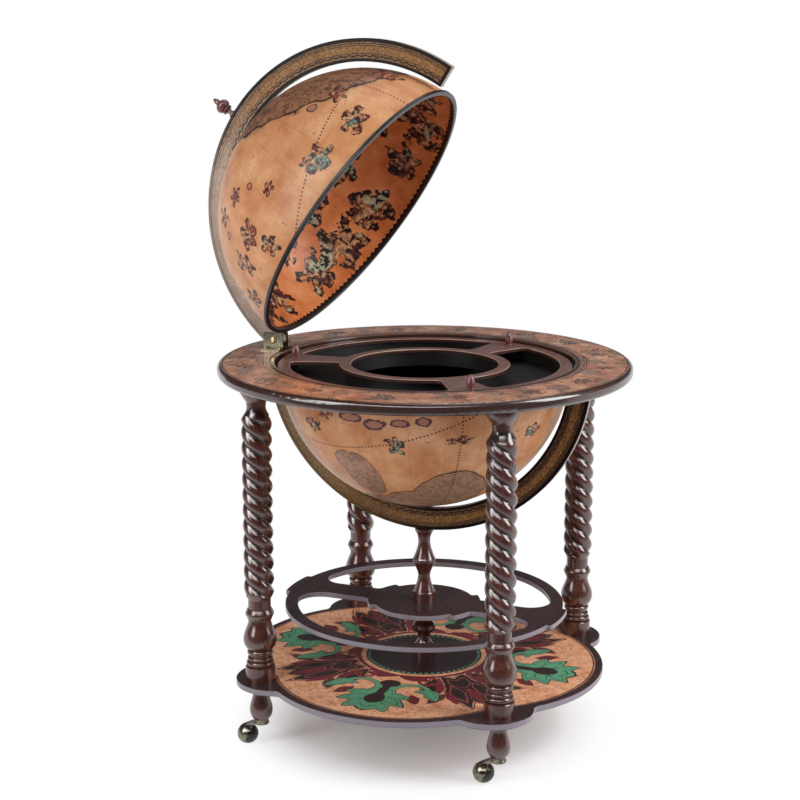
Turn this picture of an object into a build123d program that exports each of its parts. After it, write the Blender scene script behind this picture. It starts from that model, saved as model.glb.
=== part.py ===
"""Floor-standing globe bar on casters, in millimetres.

+Z is up, the floor is z = 0 and the origin is on the floor under the globe's axis.
The lid's hinge is at the back (+Y) and the lid opens towards the front (-Y).
The lid is modelled open, as it stands in use.
"""
from build123d import *
from math import cos, radians, sin, sqrt
import os

# ---------------------------------------------------------------- driving dimensions

# general fits
SEAT_GAP = 0.3            # between curved or turned faces that only touch
SLIP = 0.05               # radial clearance of a pin or shaft in its hole
OVERCUT = 1.0             # how far a cutting solid runs past a face

# heights of the two boards and the table above the floor
SHELF_TOP_Z = 117.0
RING_TOP_Z = 217.0
TABLE_TOP_Z = 641.0

# globe
GLOBE_RADIUS = 246.0      # outside of both hemispheres
GLOBE_DROP = 1.0          # closed globe's centre below the table top
SHELL_WALL = 3.0

# meridian bands
BAND_GAP = 10.0           # between the globe and its bands
BAND_WIDTH = 38.0
BAND_THICKNESS = 15.0
BAND_BORDER_HEIGHT = 1.0  # how far the raised borders stand out of each face
BAND_OUTER_BORDER = 5.0
BAND_INNER_BORDER = 4.0

# table ring
TABLE_MARGIN = 56.0       # from the band's outside to the table's edge
TABLE_THICKNESS = 20.0
TABLE_EDGE_RADIUS = 8.0
WELL_MARGIN = 8.0         # from the globe's outside to the hole in the table
WELL_BEAD_MARGIN = 7.0    # from the hole to the middle of the groove around it
WELL_BEAD_WIDTH = 4.0
WELL_BEAD_DEPTH = 1.2

# ring in the table's hole that carries the insert and the lower hemisphere
WELL_RING_LAP = 8.0       # from the globe's outside inwards
WELL_RING_TOP_DEPTH = 11.0  # below the table top
WELL_RING_HEIGHT = 18.0

# insert
INSERT_GAP = 6.0          # round the insert, in the table's hole
INSERT_THICKNESS = 6.0
SLOT_RIM_WIDTH = 20.0     # outside the slots
SLOT_WIDTH = 84.0
SLOT_CORNER_RADIUS = 12.0
SLOT_COUNT = 3
SLOT_WEB_HALF_ANGLE = 8.5
SLOT_WEB_FIRST_ANGLE = 100.0
WELL_RIM_WIDTH = 19.0     # between the slots and the bottle well
TRAY_GAP = 2.0            # between the trough and the ring around it
TRAY_RIM_WIDTH = 4.0      # of the insert past the trough, in the bottle well
TRAY_DEPTH = 24.0
TRAY_WALL = 3.0
KNOB_HEIGHT = 24.0
KNOB_RADIUS = 7.2
KNOB_INSET = 22.0         # knob's axis from the insert's edge
KNOB_SPIGOT_RADIUS = 2.5

# bottle floor inside the lower hemisphere
FLOOR_HEIGHT = 37.0       # top of the floor above the globe's lowest point
FLOOR_THICKNESS = 6.0
CLAMP_BLOCK_RADIUS = 30.0
NUT_RECESS_RADIUS = 11.0
NUT_RECESS_DEPTH = 10.0

# legs
LEG_INSET = 49.6          # leg's axis from the table's edge
LEG_FIRST_ANGLE = 45.0
LEG_COUNT = 4
TWIST_RADIUS = 25.2
TWIST_STRAND_RADIUS = 17.0
TWIST_GROOVE_FILLET = 10.0
TWIST_STARTS = 3
TWIST_LEAD = 79.0
TWIST_FIRST_ANGLE = 83.0  # of a strand at the twist's lower end, from the leg's outside
TWIST_TOP_FLARE = 23.0    # from the upper neck to the full twist
TWIST_BOTTOM_FLARE = 17.0
LEG_TOP_NECK_RADIUS = 15.8
LEG_TOP_NECK_HEIGHT = 36.0  # from the narrowest place to the table
LEG_CUP_RADIUS = 27.5     # of the cup under the table
LEG_CUP_HEIGHT = 26.0
LEG_NECK_RADIUS = 19.0    # between the bulb and the twist
LEG_BASE_RADIUS = 25.0
LEG_BASE_HEIGHT = 24.0
LEG_BEAD_HEIGHT = 8.0     # each of the beads over the base
LEG_BEAD_DEPTH = 2.0
LEG_BULB_RADIUS = 28.0
LEG_BULB_HEIGHT = 72.0    # middle of the bulb above the shelf
LEG_RING_RADIUS = 24.0    # of the ring over the bulb
LEG_RING_RISE = 36.0      # from the bulb's middle to the ring
LEG_RING_HEIGHT = 16.0
LEG_TWIST_RISE = 69.0     # from the bulb's middle to the twist
LEG_TENON_RADIUS = 12.0
LEG_TENON_LENGTH = 12.0
LEG_BOLT_RADIUS = 4.0
LEG_BOLT_LENGTH = 40.0    # part of the bolt above the shelf

# shelf
SHELF_THICKNESS = 11.0
SHELF_LOBE_RADIUS = 245.0
SHELF_LOBE_MARGIN = 13.6  # from the legs' circle to a lobe's outermost point
SHELF_EAR_RADIUS = 70.0
SHELF_EAR_MARGIN = 39.6   # from a leg's axis to the tip of its ear
SHELF_EAR_FILLET = 14.0
BOARD_EDGE_RADIUS = 2.0

# bottle ring between the shelf and the globe
RING_THICKNESS = 10.0
RING_OUTER_RADIUS = 241.0
RING_WIDTH = 22.0
RING_END_RISE = 8.0       # of the short tabs at the two ends of the web
RING_END_HALF_WIDTH = 44.0
RING_HUB_RADIUS = 87.0
RING_SHOULDER_RISE = 11.0  # of the hub's shoulders past the hub
RING_SHOULDER_HALF_ANGLE = 38.0
RING_WEB_HALF_WIDTH = 27.0
RING_WEB_FILLET = 36.0
RING_SHOULDER_FILLET = 9.0
RING_STEP_FILLET = 3.0

# centre post
SPINDLE_RADIUS = 19.5
SPINDLE_WAIST_RADIUS = 10.6
SPINDLE_CAP_RADIUS = 16.0
SPINDLE_CAP_HEIGHT = 5.0
SPINDLE_FOOT_HEIGHT = 17.0
SPINDLE_BEAD_HALF_HEIGHT = 7.0
ROD_RADIUS = 5.0
ROD_NUT_RADIUS = 9.0
ROD_NUT_HEIGHT = 7.0
WASHER_RADIUS = 14.0
WASHER_THICKNESS = 2.0
SPACER_RADIUS = 12.0

# feet
FOOT_BOTTOM_Z = 44.0
FOOT_BELLY_RADIUS = 19.5
FOOT_BELLY_HEIGHT = 18.0  # above the foot's bottom
FOOT_NECK_RADIUS = 13.5
FOOT_NECK_HEIGHT = 46.0
FOOT_TOP_RADIUS = 15.5
FOOT_END_RADIUS = 12.5

# casters
BALL_RADIUS = 17.5
HOOD_MARGIN = 0.7         # hood's outside past the wheel's
HOOD_WALL = 1.8
HOOD_SKIRT_LENGTH = 1.5   # of the hood past the ball's middle
HOOD_HUB_RADIUS = 6.0
WHEEL_GAP = 0.4           # between the hood's rim and the wheel's flat face
CASTER_TRAIL_LENGTH = 23.3  # ball centre from the swivel axis
CASTER_HEADING = 106.1    # direction of the trail, degrees from +X
CASTER_AXLE_RISE = 27.0   # degrees by which the axle climbs from the wheel to the hood
CASTER_AXLE_RADIUS = 2.5
CASTER_AXLE_REACH = 12.5  # each way from the ball's middle
CASTER_ARM_HALF_WIDTH = 6.5
CASTER_STEM_RADIUS = 4.0
CASTER_STEM_LENGTH = 32.0  # in the foot
CASTER_BOSS_RADIUS = 13.0
CASTER_BOSS_HEIGHT = 5.0
CASTER_PLATE_RADIUS = 12.5
CASTER_PLATE_THICKNESS = 2.4

# lid
LID_OPEN_ANGLE = 56.2
LID_GAP = 2.0             # closed lid above the table top
LID_RIM_HEIGHT = 6.0
LID_RIM_WIDTH = 8.0
LID_RIM_LIP = 3.0         # of the rim past the globe's outside
LID_BAND_END_ANGLE = 178.5  # how far round the band reaches from the hinge side

# hinge
HINGE_INSET = 15.0        # hinge bolt from the band's outside
HINGE_HEIGHT = 17.0       # hinge bolt above the table top
KNUCKLE_RADIUS = 15.4
HINGE_BOLT_RADIUS = 4.0
HINGE_BOLT_HEAD_RADIUS = 6.0
HINGE_BOLT_HEAD_HEIGHT = 4.0
CHEEK_GAP = 0.5
CHEEK_THICKNESS = 3.0
CHEEK_HALF_LENGTH = 18.5
CHEEK_TOP_HEIGHT = 13.0   # above the hinge bolt
CHEEK_CORNER_RADIUS = 4.0
FLANGE_WIDTH = 17.0
FLANGE_THICKNESS = 2.5
WEB_THICKNESS = 2.5
WEB_TOP_DEPTH = 3.0       # below the hinge bolt
KNUCKLE_SHOULDER_HEIGHT = 2.0  # above the hinge bolt, where the band narrows
HINGE_BLOCK_HEIGHT = 26.0

# finial and pole bolt
FINIAL_HEIGHT = 46.0
FINIAL_RADIUS = 12.5
FINIAL_NECK_RADIUS = 4.2
FINIAL_BASE_RADIUS = 7.5
POLE_BOLT_RADIUS = 3.0
POLE_BOLT_LENGTH = 24.0   # part of the bolt in the finial
POLE_BOLT_HEAD_RADIUS = 6.0
POLE_BOLT_HEAD_HEIGHT = 3.0
POLE_WASHER_RADIUS = 11.0
POLE_WASHER_THICKNESS = 3.0
POLE_SPACER_RADIUS = 9.0

# screws and band brackets
SCREW_RADIUS = 2.0
SCREW_HEAD_RADIUS = 4.0
SCREW_HEAD_HEIGHT = 2.0
SCREW_LENGTH = 12.0
LID_BOLT_ANGLES = [4.5, 7.0]  # above the globe's horizon, seen from its centre
LID_BOLT_LENGTH = 14.0    # part of the bolt in the band
BRACKET_WIDTH = 20.0
BRACKET_LEG_LENGTH = 24.0
BRACKET_HOLE_INSET = 14.4  # screw's axis from the angle's corner
BRACKET_THICKNESS = 2.0

# ---------------------------------------------------------------- derived places

globe_centre_z = TABLE_TOP_Z - GLOBE_DROP
globe_bottom_z = globe_centre_z - GLOBE_RADIUS
shell_inside = GLOBE_RADIUS - SHELL_WALL
band_inner = GLOBE_RADIUS + BAND_GAP
band_outer = band_inner + BAND_WIDTH
band_half = BAND_THICKNESS / 2
band_inner_bottom_z = globe_centre_z - band_inner
band_outer_bottom_z = globe_centre_z - band_outer

table_radius = band_outer + TABLE_MARGIN
table_bottom_z = TABLE_TOP_Z - TABLE_THICKNESS
well_radius = GLOBE_RADIUS + WELL_MARGIN
well_ring_inner = GLOBE_RADIUS - WELL_RING_LAP
well_ring_top_z = TABLE_TOP_Z - WELL_RING_TOP_DEPTH
well_ring_bottom_z = well_ring_top_z - WELL_RING_HEIGHT

insert_radius = well_radius - INSERT_GAP
insert_top_z = well_ring_top_z + INSERT_THICKNESS
slot_outer = insert_radius - SLOT_RIM_WIDTH
slot_inner = slot_outer - SLOT_WIDTH
bottle_well_radius = slot_inner - WELL_RIM_WIDTH
tray_outer = well_ring_inner - TRAY_GAP
tray_inner = bottle_well_radius + TRAY_RIM_WIDTH
tray_bottom_z = well_ring_top_z - TRAY_DEPTH
knob_circle = insert_radius - KNOB_INSET

floor_top_z = globe_bottom_z + FLOOR_HEIGHT
floor_bottom_z = floor_top_z - FLOOR_THICKNESS

shelf_bottom_z = SHELF_TOP_Z - SHELF_THICKNESS
ring_bottom_z = RING_TOP_Z - RING_THICKNESS
ring_inner = RING_OUTER_RADIUS - RING_WIDTH
leg_circle = table_radius - LEG_INSET
bulb_z = SHELF_TOP_Z + LEG_BULB_HEIGHT
twist_bottom_z = bulb_z + LEG_TWIST_RISE
twist_top_z = table_bottom_z - LEG_TOP_NECK_HEIGHT
stem_top_z = FOOT_BOTTOM_Z + CASTER_STEM_LENGTH

lid_rim_bottom_z = TABLE_TOP_Z + LID_GAP
lid_rim_top_z = lid_rim_bottom_z + LID_RIM_HEIGHT
lid_rim_outer = GLOBE_RADIUS + LID_RIM_LIP
lid_rim_inner = lid_rim_outer - LID_RIM_WIDTH
hinge_y = band_outer - HINGE_INSET
hinge_z = TABLE_TOP_Z + HINGE_HEIGHT
hinge_axis = Axis((0, hinge_y, hinge_z), (1, 0, 0))


def polar(radius, angle):
    """Point at a radius and an angle in degrees, as x and y."""
    return radius * cos(radians(angle)), radius * sin(radians(angle))


leg_angles = [LEG_FIRST_ANGLE + i * 360 / LEG_COUNT for i in range(LEG_COUNT)]
leg_places = [polar(leg_circle, angle) for angle in leg_angles]
leg_names = ["rear_right", "rear_left", "front_left", "front_right"]
web_angles = [SLOT_WEB_FIRST_ANGLE + i * 360 / SLOT_COUNT for i in range(SLOT_COUNT)]

# ---------------------------------------------------------------- helpers


def tube(outer, inner, bottom, top):
    """Upright ring between two heights; inner 0 gives a full cylinder."""
    middle = Pos(0, 0, (bottom + top) / 2)
    body = middle * Cylinder(outer, top - bottom)
    if inner > 0:
        body -= middle * Cylinder(inner, top - bottom + 2 * OVERCUT)
    return body


def block(low, high):
    """Box from its low corner to its high corner."""
    size = [b - a for a, b in zip(low, high)]
    middle = [(a + b) / 2 for a, b in zip(low, high)]
    return Pos(*middle) * Box(*size)


def lying_cylinder(radius, x_low, x_high, y, z):
    """Cylinder along X between two values of x."""
    lying = Rot(0, 90, 0) * Cylinder(radius, x_high - x_low)
    return Pos((x_low + x_high) / 2, y, z) * lying


def ball(radius, centre_z):
    return Pos(0, 0, centre_z) * Sphere(radius)


def turned(profile):
    """Solid of revolution about Z.

    The profile lists (radius, z) from the bottom to the top. A third value "s" makes
    a smooth curve through that point to the next one.
    """
    edges = []
    run = [profile[0][:2]]
    for point in profile[1:]:
        run.append(point[:2])
        if len(point) == 3:
            continue
        edges.append(turned_edge(run))
        run = [point[:2]]
    (r0, z0), (r1, z1) = profile[0][:2], profile[-1][:2]
    edges.append(Line((r1, 0, z1), (0, 0, z1)))
    edges.append(Line((0, 0, z1), (0, 0, z0)))
    edges.append(Line((0, 0, z0), (r0, 0, z0)))
    face = Face(Wire(edges))
    return revolve(face, Axis.Z)


def turned_edge(run):
    points = [(r, 0, z) for r, z in run]
    if len(points) == 2:
        return Line(*points)
    if len(points) == 3:
        return ThreePointArc(*points)
    return Spline(*points)


def save(name, shape):
    """Write one sub-part as a STEP file."""
    shape.label = name
    export_step(shape, "parts/" + name + ".step")


def opened(shape):
    """Turn a piece of the closed lid to its open place."""
    return shape.rotate(hinge_axis, -LID_OPEN_ANGLE)


# ---------------------------------------------------------------- boards


def lobed_outline():
    """Four shallow lobes on the axes with an ear at each leg."""
    lobe_offset = leg_circle + SHELF_LOBE_MARGIN - SHELF_LOBE_RADIUS
    ear_offset = leg_circle + SHELF_EAR_MARGIN - SHELF_EAR_RADIUS
    outline = Sketch()
    for i in range(LEG_COUNT):
        x, y = polar(lobe_offset, LEG_FIRST_ANGLE + (i + 0.5) * 360 / LEG_COUNT)
        outline += Pos(x, y) * Circle(SHELF_LOBE_RADIUS)
    for angle in leg_angles:
        x, y = polar(ear_offset, angle)
        outline += Pos(x, y) * Circle(SHELF_EAR_RADIUS)
    return fillet(outline.vertices(), SHELF_EAR_FILLET)


def make_shelf():
    board = Pos(0, 0, shelf_bottom_z) * extrude(lobed_outline(), SHELF_THICKNESS)
    rims = board.faces().filter_by(Plane.XY).edges()
    board = fillet(rims, BOARD_EDGE_RADIUS)
    for x, y in leg_places:
        hole = tube(LEG_BOLT_RADIUS + SLIP, 0, shelf_bottom_z - OVERCUT, SHELF_TOP_Z + OVERCUT)
        board -= Pos(x, y, 0) * hole
    return board - tube(ROD_RADIUS + SLIP, 0, shelf_bottom_z - OVERCUT, SHELF_TOP_Z + OVERCUT)


def wedge(middle_angle, half_angle, reach):
    """Flat sector from the axis, wider than any ring it cuts."""
    points = [(0, 0)]
    for part in (-1, -0.5, 0.5, 1):
        points.append(polar(reach, middle_angle + part * half_angle))
    return make_face(Polyline(*points, close=True))


def make_bottle_ring():
    reach = 2 * RING_OUTER_RADIUS
    ring_shoulder = RING_HUB_RADIUS + RING_SHOULDER_RISE
    ends = Circle(RING_OUTER_RADIUS + RING_END_RISE) & Rectangle(2 * RING_END_HALF_WIDTH, 2 * reach)
    outline = Circle(RING_OUTER_RADIUS) + ends
    outline = fillet(outline.vertices(), RING_STEP_FILLET)
    openings = Circle(ring_inner) - Circle(RING_HUB_RADIUS)
    openings -= Rectangle(2 * RING_WEB_HALF_WIDTH, 2 * reach)
    for angle in (90, -90):
        sector = wedge(angle, RING_SHOULDER_HALF_ANGLE, reach)
        openings -= Circle(ring_shoulder) & sector
    tips, shoulders, steps = [], [], []
    for corner in openings.vertices():
        radius = sqrt(corner.X**2 + corner.Y**2)
        if radius > (ring_inner + ring_shoulder) / 2:
            tips.append(corner)
        elif abs(abs(corner.X) - RING_WEB_HALF_WIDTH) < 0.01:
            shoulders.append(corner)
        else:
            steps.append(corner)
    openings = fillet(steps, RING_STEP_FILLET)
    openings = fillet(near(openings, shoulders), RING_SHOULDER_FILLET)
    openings = fillet(near(openings, tips), RING_WEB_FILLET)
    board = Pos(0, 0, ring_bottom_z) * extrude(outline - openings, RING_THICKNESS)
    rims = board.faces().filter_by(Plane.XY).edges()
    board = fillet(rims, BOARD_EDGE_RADIUS)
    return board - tube(ROD_RADIUS + SLIP, 0, ring_bottom_z - OVERCUT, RING_TOP_Z + OVERCUT)


def near(sketch, places):
    """Corners of the sketch that stand where the listed corners stood."""
    return [
        corner
        for corner in sketch.vertices()
        if any((corner.center() - place.center()).length < 0.01 for place in places)
    ]


def make_table_top():
    board = tube(table_radius, well_radius, table_bottom_z, TABLE_TOP_Z)
    rims = board.edges().filter_by(GeomType.CIRCLE)
    outside = [edge for edge in rims if edge.radius > (table_radius + well_radius) / 2]
    board = fillet(outside, TABLE_EDGE_RADIUS)
    bead = well_radius + WELL_BEAD_MARGIN
    board -= tube(
        bead + WELL_BEAD_WIDTH / 2,
        bead - WELL_BEAD_WIDTH / 2,
        TABLE_TOP_Z - WELL_BEAD_DEPTH,
        TABLE_TOP_Z + OVERCUT,
    )
    socket_top = table_bottom_z + LEG_TENON_LENGTH + SEAT_GAP
    socket = tube(LEG_TENON_RADIUS + SLIP, 0, table_bottom_z - OVERCUT, socket_top)
    for x, y in leg_places:
        board -= Pos(x, y, 0) * socket
    for x, y in hinge_screw_places:
        board -= Pos(x, y, 0) * screw_hole(TABLE_TOP_Z)
    for x, y in bracket_screw_places:
        board -= Pos(x, y, 0) * screw_hole(table_bottom_z)
    return board


# ---------------------------------------------------------------- screws


def screw_hole(middle_z):
    """Upright hole for a screw, reaching its length each way from a height."""
    reach = SCREW_LENGTH + SEAT_GAP
    return tube(SCREW_RADIUS + SLIP, 0, middle_z - reach, middle_z + reach)


def screw(seat_z):
    """Round-headed screw, head on top of its seat, pointing down."""
    head = tube(SCREW_HEAD_RADIUS, 0, seat_z, seat_z + SCREW_HEAD_HEIGHT)
    crown = head.faces().sort_by(Axis.Z)[-1].edges()
    head = fillet(crown, 0.7 * SCREW_HEAD_HEIGHT)
    return head + tube(SCREW_RADIUS, 0, seat_z - SCREW_LENGTH, seat_z)


cheek_inside = band_half + CHEEK_GAP
cheek_outside = cheek_inside + CHEEK_THICKNESS
flange_end = cheek_inside + FLANGE_WIDTH
hinge_screw_x = (cheek_outside + flange_end) / 2
hinge_screw_step = CHEEK_HALF_LENGTH - SCREW_HEAD_RADIUS - 2
hinge_screw_places = [
    (side * hinge_screw_x, hinge_y + step)
    for side in (-1, 1)
    for step in (-hinge_screw_step, hinge_screw_step)
]
bracket_seat_x = band_half - BAND_BORDER_HEIGHT
bracket_middle_y = (band_inner + band_outer) / 2
bracket_screw_x = bracket_seat_x + BRACKET_HOLE_INSET
bracket_screw_places = [
    (bracket_screw_x, side * bracket_middle_y) for side in (-1, 1)
]
bracket_screw_z = table_bottom_z - BRACKET_HOLE_INSET

# ---------------------------------------------------------------- turned wood


def strand_section():
    """Cross-section of the barley twist: round strands with filleted grooves."""
    reach = TWIST_RADIUS - TWIST_STRAND_RADIUS
    section = Sketch()
    for i in range(TWIST_STARTS):
        x, y = polar(reach, i * 360 / TWIST_STARTS)
        section += Pos(x, y) * Circle(TWIST_STRAND_RADIUS)
    return fillet(section.vertices(), TWIST_GROOVE_FILLET)


def make_twist():
    """Left-handed twist between the necks, flaring smoothly out of both."""
    length = twist_top_z - twist_bottom_z
    turns = -360 * length / TWIST_LEAD
    section = Rot(0, 0, TWIST_FIRST_ANGLE) * strand_section()
    rod = Solid.extrude_linear_with_rotation(section.face(), (0, 0, 0), (0, 0, length), turns)
    barrel_radius = TWIST_RADIUS + 0.5
    bottom_rise = barrel_radius - LEG_NECK_RADIUS
    top_rise = barrel_radius - LEG_TOP_NECK_RADIUS
    low, high = twist_bottom_z, twist_top_z
    barrel = turned(
        [
            (LEG_NECK_RADIUS, low),
            (LEG_NECK_RADIUS + 0.45 * bottom_rise, low + 0.35 * TWIST_BOTTOM_FLARE, "s"),
            (LEG_NECK_RADIUS + 0.85 * bottom_rise, low + 0.7 * TWIST_BOTTOM_FLARE, "s"),
            (barrel_radius, low + TWIST_BOTTOM_FLARE),
            (barrel_radius, high - TWIST_TOP_FLARE),
            (LEG_TOP_NECK_RADIUS + 0.87 * top_rise, high - 0.78 * TWIST_TOP_FLARE, "s"),
            (LEG_TOP_NECK_RADIUS + 0.62 * top_rise, high - 0.6 * TWIST_TOP_FLARE, "s"),
            (LEG_TOP_NECK_RADIUS + 0.22 * top_rise, high - 0.32 * TWIST_TOP_FLARE, "s"),
            (LEG_TOP_NECK_RADIUS, high),
        ]
    )
    return (Pos(0, 0, twist_bottom_z) * rod) & barrel


def bead(radius, bottom, height):
    """Profile points of a rounded bead that stands out to a radius."""
    return [
        (radius - LEG_BEAD_DEPTH, bottom),
        (radius, bottom + height / 2, "s"),
        (radius - LEG_BEAD_DEPTH, bottom + height),
    ]


def make_leg():
    """Turned leg with a barley twist, a bulb and a plain base."""
    foot = SHELF_TOP_Z
    base_top = foot + LEG_BASE_HEIGHT
    bead_1 = base_top + 1
    bead_2 = bead_1 + LEG_BEAD_HEIGHT + 0.8
    bead_3 = bead_2 + LEG_BEAD_HEIGHT + 2.5
    ring = bulb_z + LEG_RING_RISE
    lower = turned(
        [
            (LEG_BASE_RADIUS, foot),
            (LEG_BASE_RADIUS, base_top - 1.2),
            (LEG_BASE_RADIUS - 1.2, base_top),
            (LEG_BASE_RADIUS - 4, base_top),
            *bead(LEG_BASE_RADIUS - 1.5, bead_1, LEG_BEAD_HEIGHT),
            (LEG_BASE_RADIUS - 5, bead_2 - 0.4),
            *bead(LEG_BASE_RADIUS - 3.5, bead_2, LEG_BEAD_HEIGHT - 1.5),
            (LEG_BASE_RADIUS - 7, bead_3 - 2.8),
            (LEG_BASE_RADIUS - 7, bead_3 - 1.2),
            *bead(LEG_BASE_RADIUS - 3, bead_3, LEG_BEAD_HEIGHT),
            (LEG_BASE_RADIUS - 6, bead_3 + LEG_BEAD_HEIGHT + 0.5),
            (LEG_BASE_RADIUS - 4.5, bead_3 + LEG_BEAD_HEIGHT + 1.3),
            (LEG_BULB_RADIUS - 2.2, bulb_z - 11.5, "s"),
            (LEG_BULB_RADIUS, bulb_z, "s"),
            (LEG_BULB_RADIUS - 1.5, bulb_z + 8.5, "s"),
            (LEG_BULB_RADIUS - 4.7, bulb_z + 17, "s"),
            (LEG_NECK_RADIUS + 0.8, bulb_z + 0.74 * LEG_RING_RISE, "s"),
            (LEG_NECK_RADIUS - 0.3, ring - 4),
            (LEG_NECK_RADIUS - 0.3, ring - 2.5),
            (LEG_NECK_RADIUS + 1.5, ring - 2),
            (LEG_NECK_RADIUS + 1.5, ring),
            (LEG_RING_RADIUS - 1.3, ring + 0.25 * LEG_RING_HEIGHT, "s"),
            (LEG_RING_RADIUS, ring + 0.5 * LEG_RING_HEIGHT, "s"),
            (LEG_RING_RADIUS - 1.3, ring + 0.75 * LEG_RING_HEIGHT, "s"),
            (LEG_NECK_RADIUS + 1.5, ring + LEG_RING_HEIGHT),
            (LEG_NECK_RADIUS, ring + LEG_RING_HEIGHT + 0.5),
            (LEG_NECK_RADIUS, twist_bottom_z + OVERCUT),
        ]
    )
    cup = table_bottom_z - LEG_CUP_HEIGHT
    cup_rise = LEG_CUP_RADIUS - LEG_TOP_NECK_RADIUS
    upper = turned(
        [
            (LEG_TOP_NECK_RADIUS, twist_top_z - OVERCUT),
            (LEG_TOP_NECK_RADIUS, twist_top_z + 2),
            (LEG_TOP_NECK_RADIUS + 0.9, cup),
            (LEG_TOP_NECK_RADIUS + 0.38 * cup_rise, cup + 0.19 * LEG_CUP_HEIGHT, "s"),
            (LEG_TOP_NECK_RADIUS + 0.68 * cup_rise, cup + 0.4 * LEG_CUP_HEIGHT, "s"),
            (LEG_TOP_NECK_RADIUS + 0.9 * cup_rise, cup + 0.6 * LEG_CUP_HEIGHT, "s"),
            (LEG_CUP_RADIUS, cup + 0.85 * LEG_CUP_HEIGHT),
            (LEG_CUP_RADIUS, table_bottom_z),
            (LEG_TENON_RADIUS, table_bottom_z),
            (LEG_TENON_RADIUS, table_bottom_z + LEG_TENON_LENGTH),
        ]
    )
    leg = lower + make_twist() + upper
    bolt_top = SHELF_TOP_Z + LEG_BOLT_LENGTH + SEAT_GAP
    return leg - tube(LEG_BOLT_RADIUS + SLIP, 0, foot - OVERCUT, bolt_top)


def make_foot():
    """Pear-shaped foot between a caster and the shelf."""
    belly_z = FOOT_BOTTOM_Z + FOOT_BELLY_HEIGHT
    neck_z = FOOT_BOTTOM_Z + FOOT_NECK_HEIGHT
    foot = turned(
        [
            (FOOT_END_RADIUS, FOOT_BOTTOM_Z),
            (FOOT_END_RADIUS + 0.5, FOOT_BOTTOM_Z + 2),
            (FOOT_BELLY_RADIUS - 2, FOOT_BOTTOM_Z + 8, "s"),
            (FOOT_BELLY_RADIUS, belly_z, "s"),
            (FOOT_BELLY_RADIUS - 2.5, belly_z + 14, "s"),
            (FOOT_NECK_RADIUS, neck_z),
            (FOOT_NECK_RADIUS + 0.5, neck_z + 6, "s"),
            (FOOT_TOP_RADIUS, shelf_bottom_z - 2),
            (FOOT_TOP_RADIUS, shelf_bottom_z),
        ]
    )
    stem_top = stem_top_z + SEAT_GAP
    foot -= tube(CASTER_STEM_RADIUS + SLIP, 0, FOOT_BOTTOM_Z - OVERCUT, stem_top)
    return foot - tube(LEG_BOLT_RADIUS + SLIP, 0, leg_bolt_bottom_z, shelf_bottom_z + OVERCUT)


leg_bolt_bottom_z = stem_top_z + 8


def make_spindle(bottom, top):
    """Turned centre post with a drum foot, a waist, a bead and a second waist."""
    drum = bottom + SPINDLE_FOOT_HEIGHT
    rise = top - SPINDLE_CAP_HEIGHT - drum
    bead = drum + 0.52 * rise
    half = SPINDLE_BEAD_HALF_HEIGHT
    post = turned(
        [
            (SPINDLE_RADIUS, bottom),
            (SPINDLE_RADIUS, drum - 2),
            (SPINDLE_RADIUS - 1.5, drum),
            (SPINDLE_WAIST_RADIUS + 3.5, drum + 0.10 * rise, "s"),
            (SPINDLE_WAIST_RADIUS, drum + 0.23 * rise, "s"),
            (SPINDLE_WAIST_RADIUS + 2, drum + 0.35 * rise),
            (SPINDLE_RADIUS - 2, bead - half),
            (SPINDLE_RADIUS, bead - 0.4 * half),
            (SPINDLE_RADIUS, bead + 0.4 * half),
            (SPINDLE_RADIUS - 1.2, bead + 0.7 * half),
            (SPINDLE_WAIST_RADIUS + 3, bead + 0.16 * rise, "s"),
            (SPINDLE_WAIST_RADIUS, bead + 0.28 * rise, "s"),
            (SPINDLE_CAP_RADIUS - 1, top - SPINDLE_CAP_HEIGHT),
            (SPINDLE_CAP_RADIUS, top - SPINDLE_CAP_HEIGHT + 1),
            (SPINDLE_CAP_RADIUS, top),
        ]
    )
    return post - tube(ROD_RADIUS + SLIP, 0, bottom - OVERCUT, top + OVERCUT)


def make_finial():
    """Turned finial on top of the band at the pole, in the closed lid's place."""
    base = globe_centre_z + band_outer + SLIP
    finial = turned(
        [
            (FINIAL_BASE_RADIUS, base),
            (FINIAL_BASE_RADIUS, base + 2.5),
            (FINIAL_NECK_RADIUS + 0.6, base + 4),
            (FINIAL_NECK_RADIUS, base + 7.5, "s"),
            (FINIAL_NECK_RADIUS + 0.6, base + 11),
            (FINIAL_RADIUS - 4, base + 12.5),
            (FINIAL_RADIUS - 3, base + 14, "s"),
            (FINIAL_RADIUS - 4, base + 15.5),
            (FINIAL_RADIUS - 5, base + 16.5),
            (FINIAL_RADIUS, base + 24, "s"),
            (FINIAL_RADIUS - 4.5, base + 32),
            (FINIAL_RADIUS - 7.5, base + 34),
            (FINIAL_RADIUS - 7.5, base + 36),
            (FINIAL_RADIUS - 8, base + 40, "s"),
            (1, base + FINIAL_HEIGHT),
        ]
    )
    bolt_top = base + POLE_BOLT_LENGTH + SEAT_GAP
    return finial - tube(POLE_BOLT_RADIUS + SLIP, 0, base - OVERCUT, bolt_top)


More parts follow.
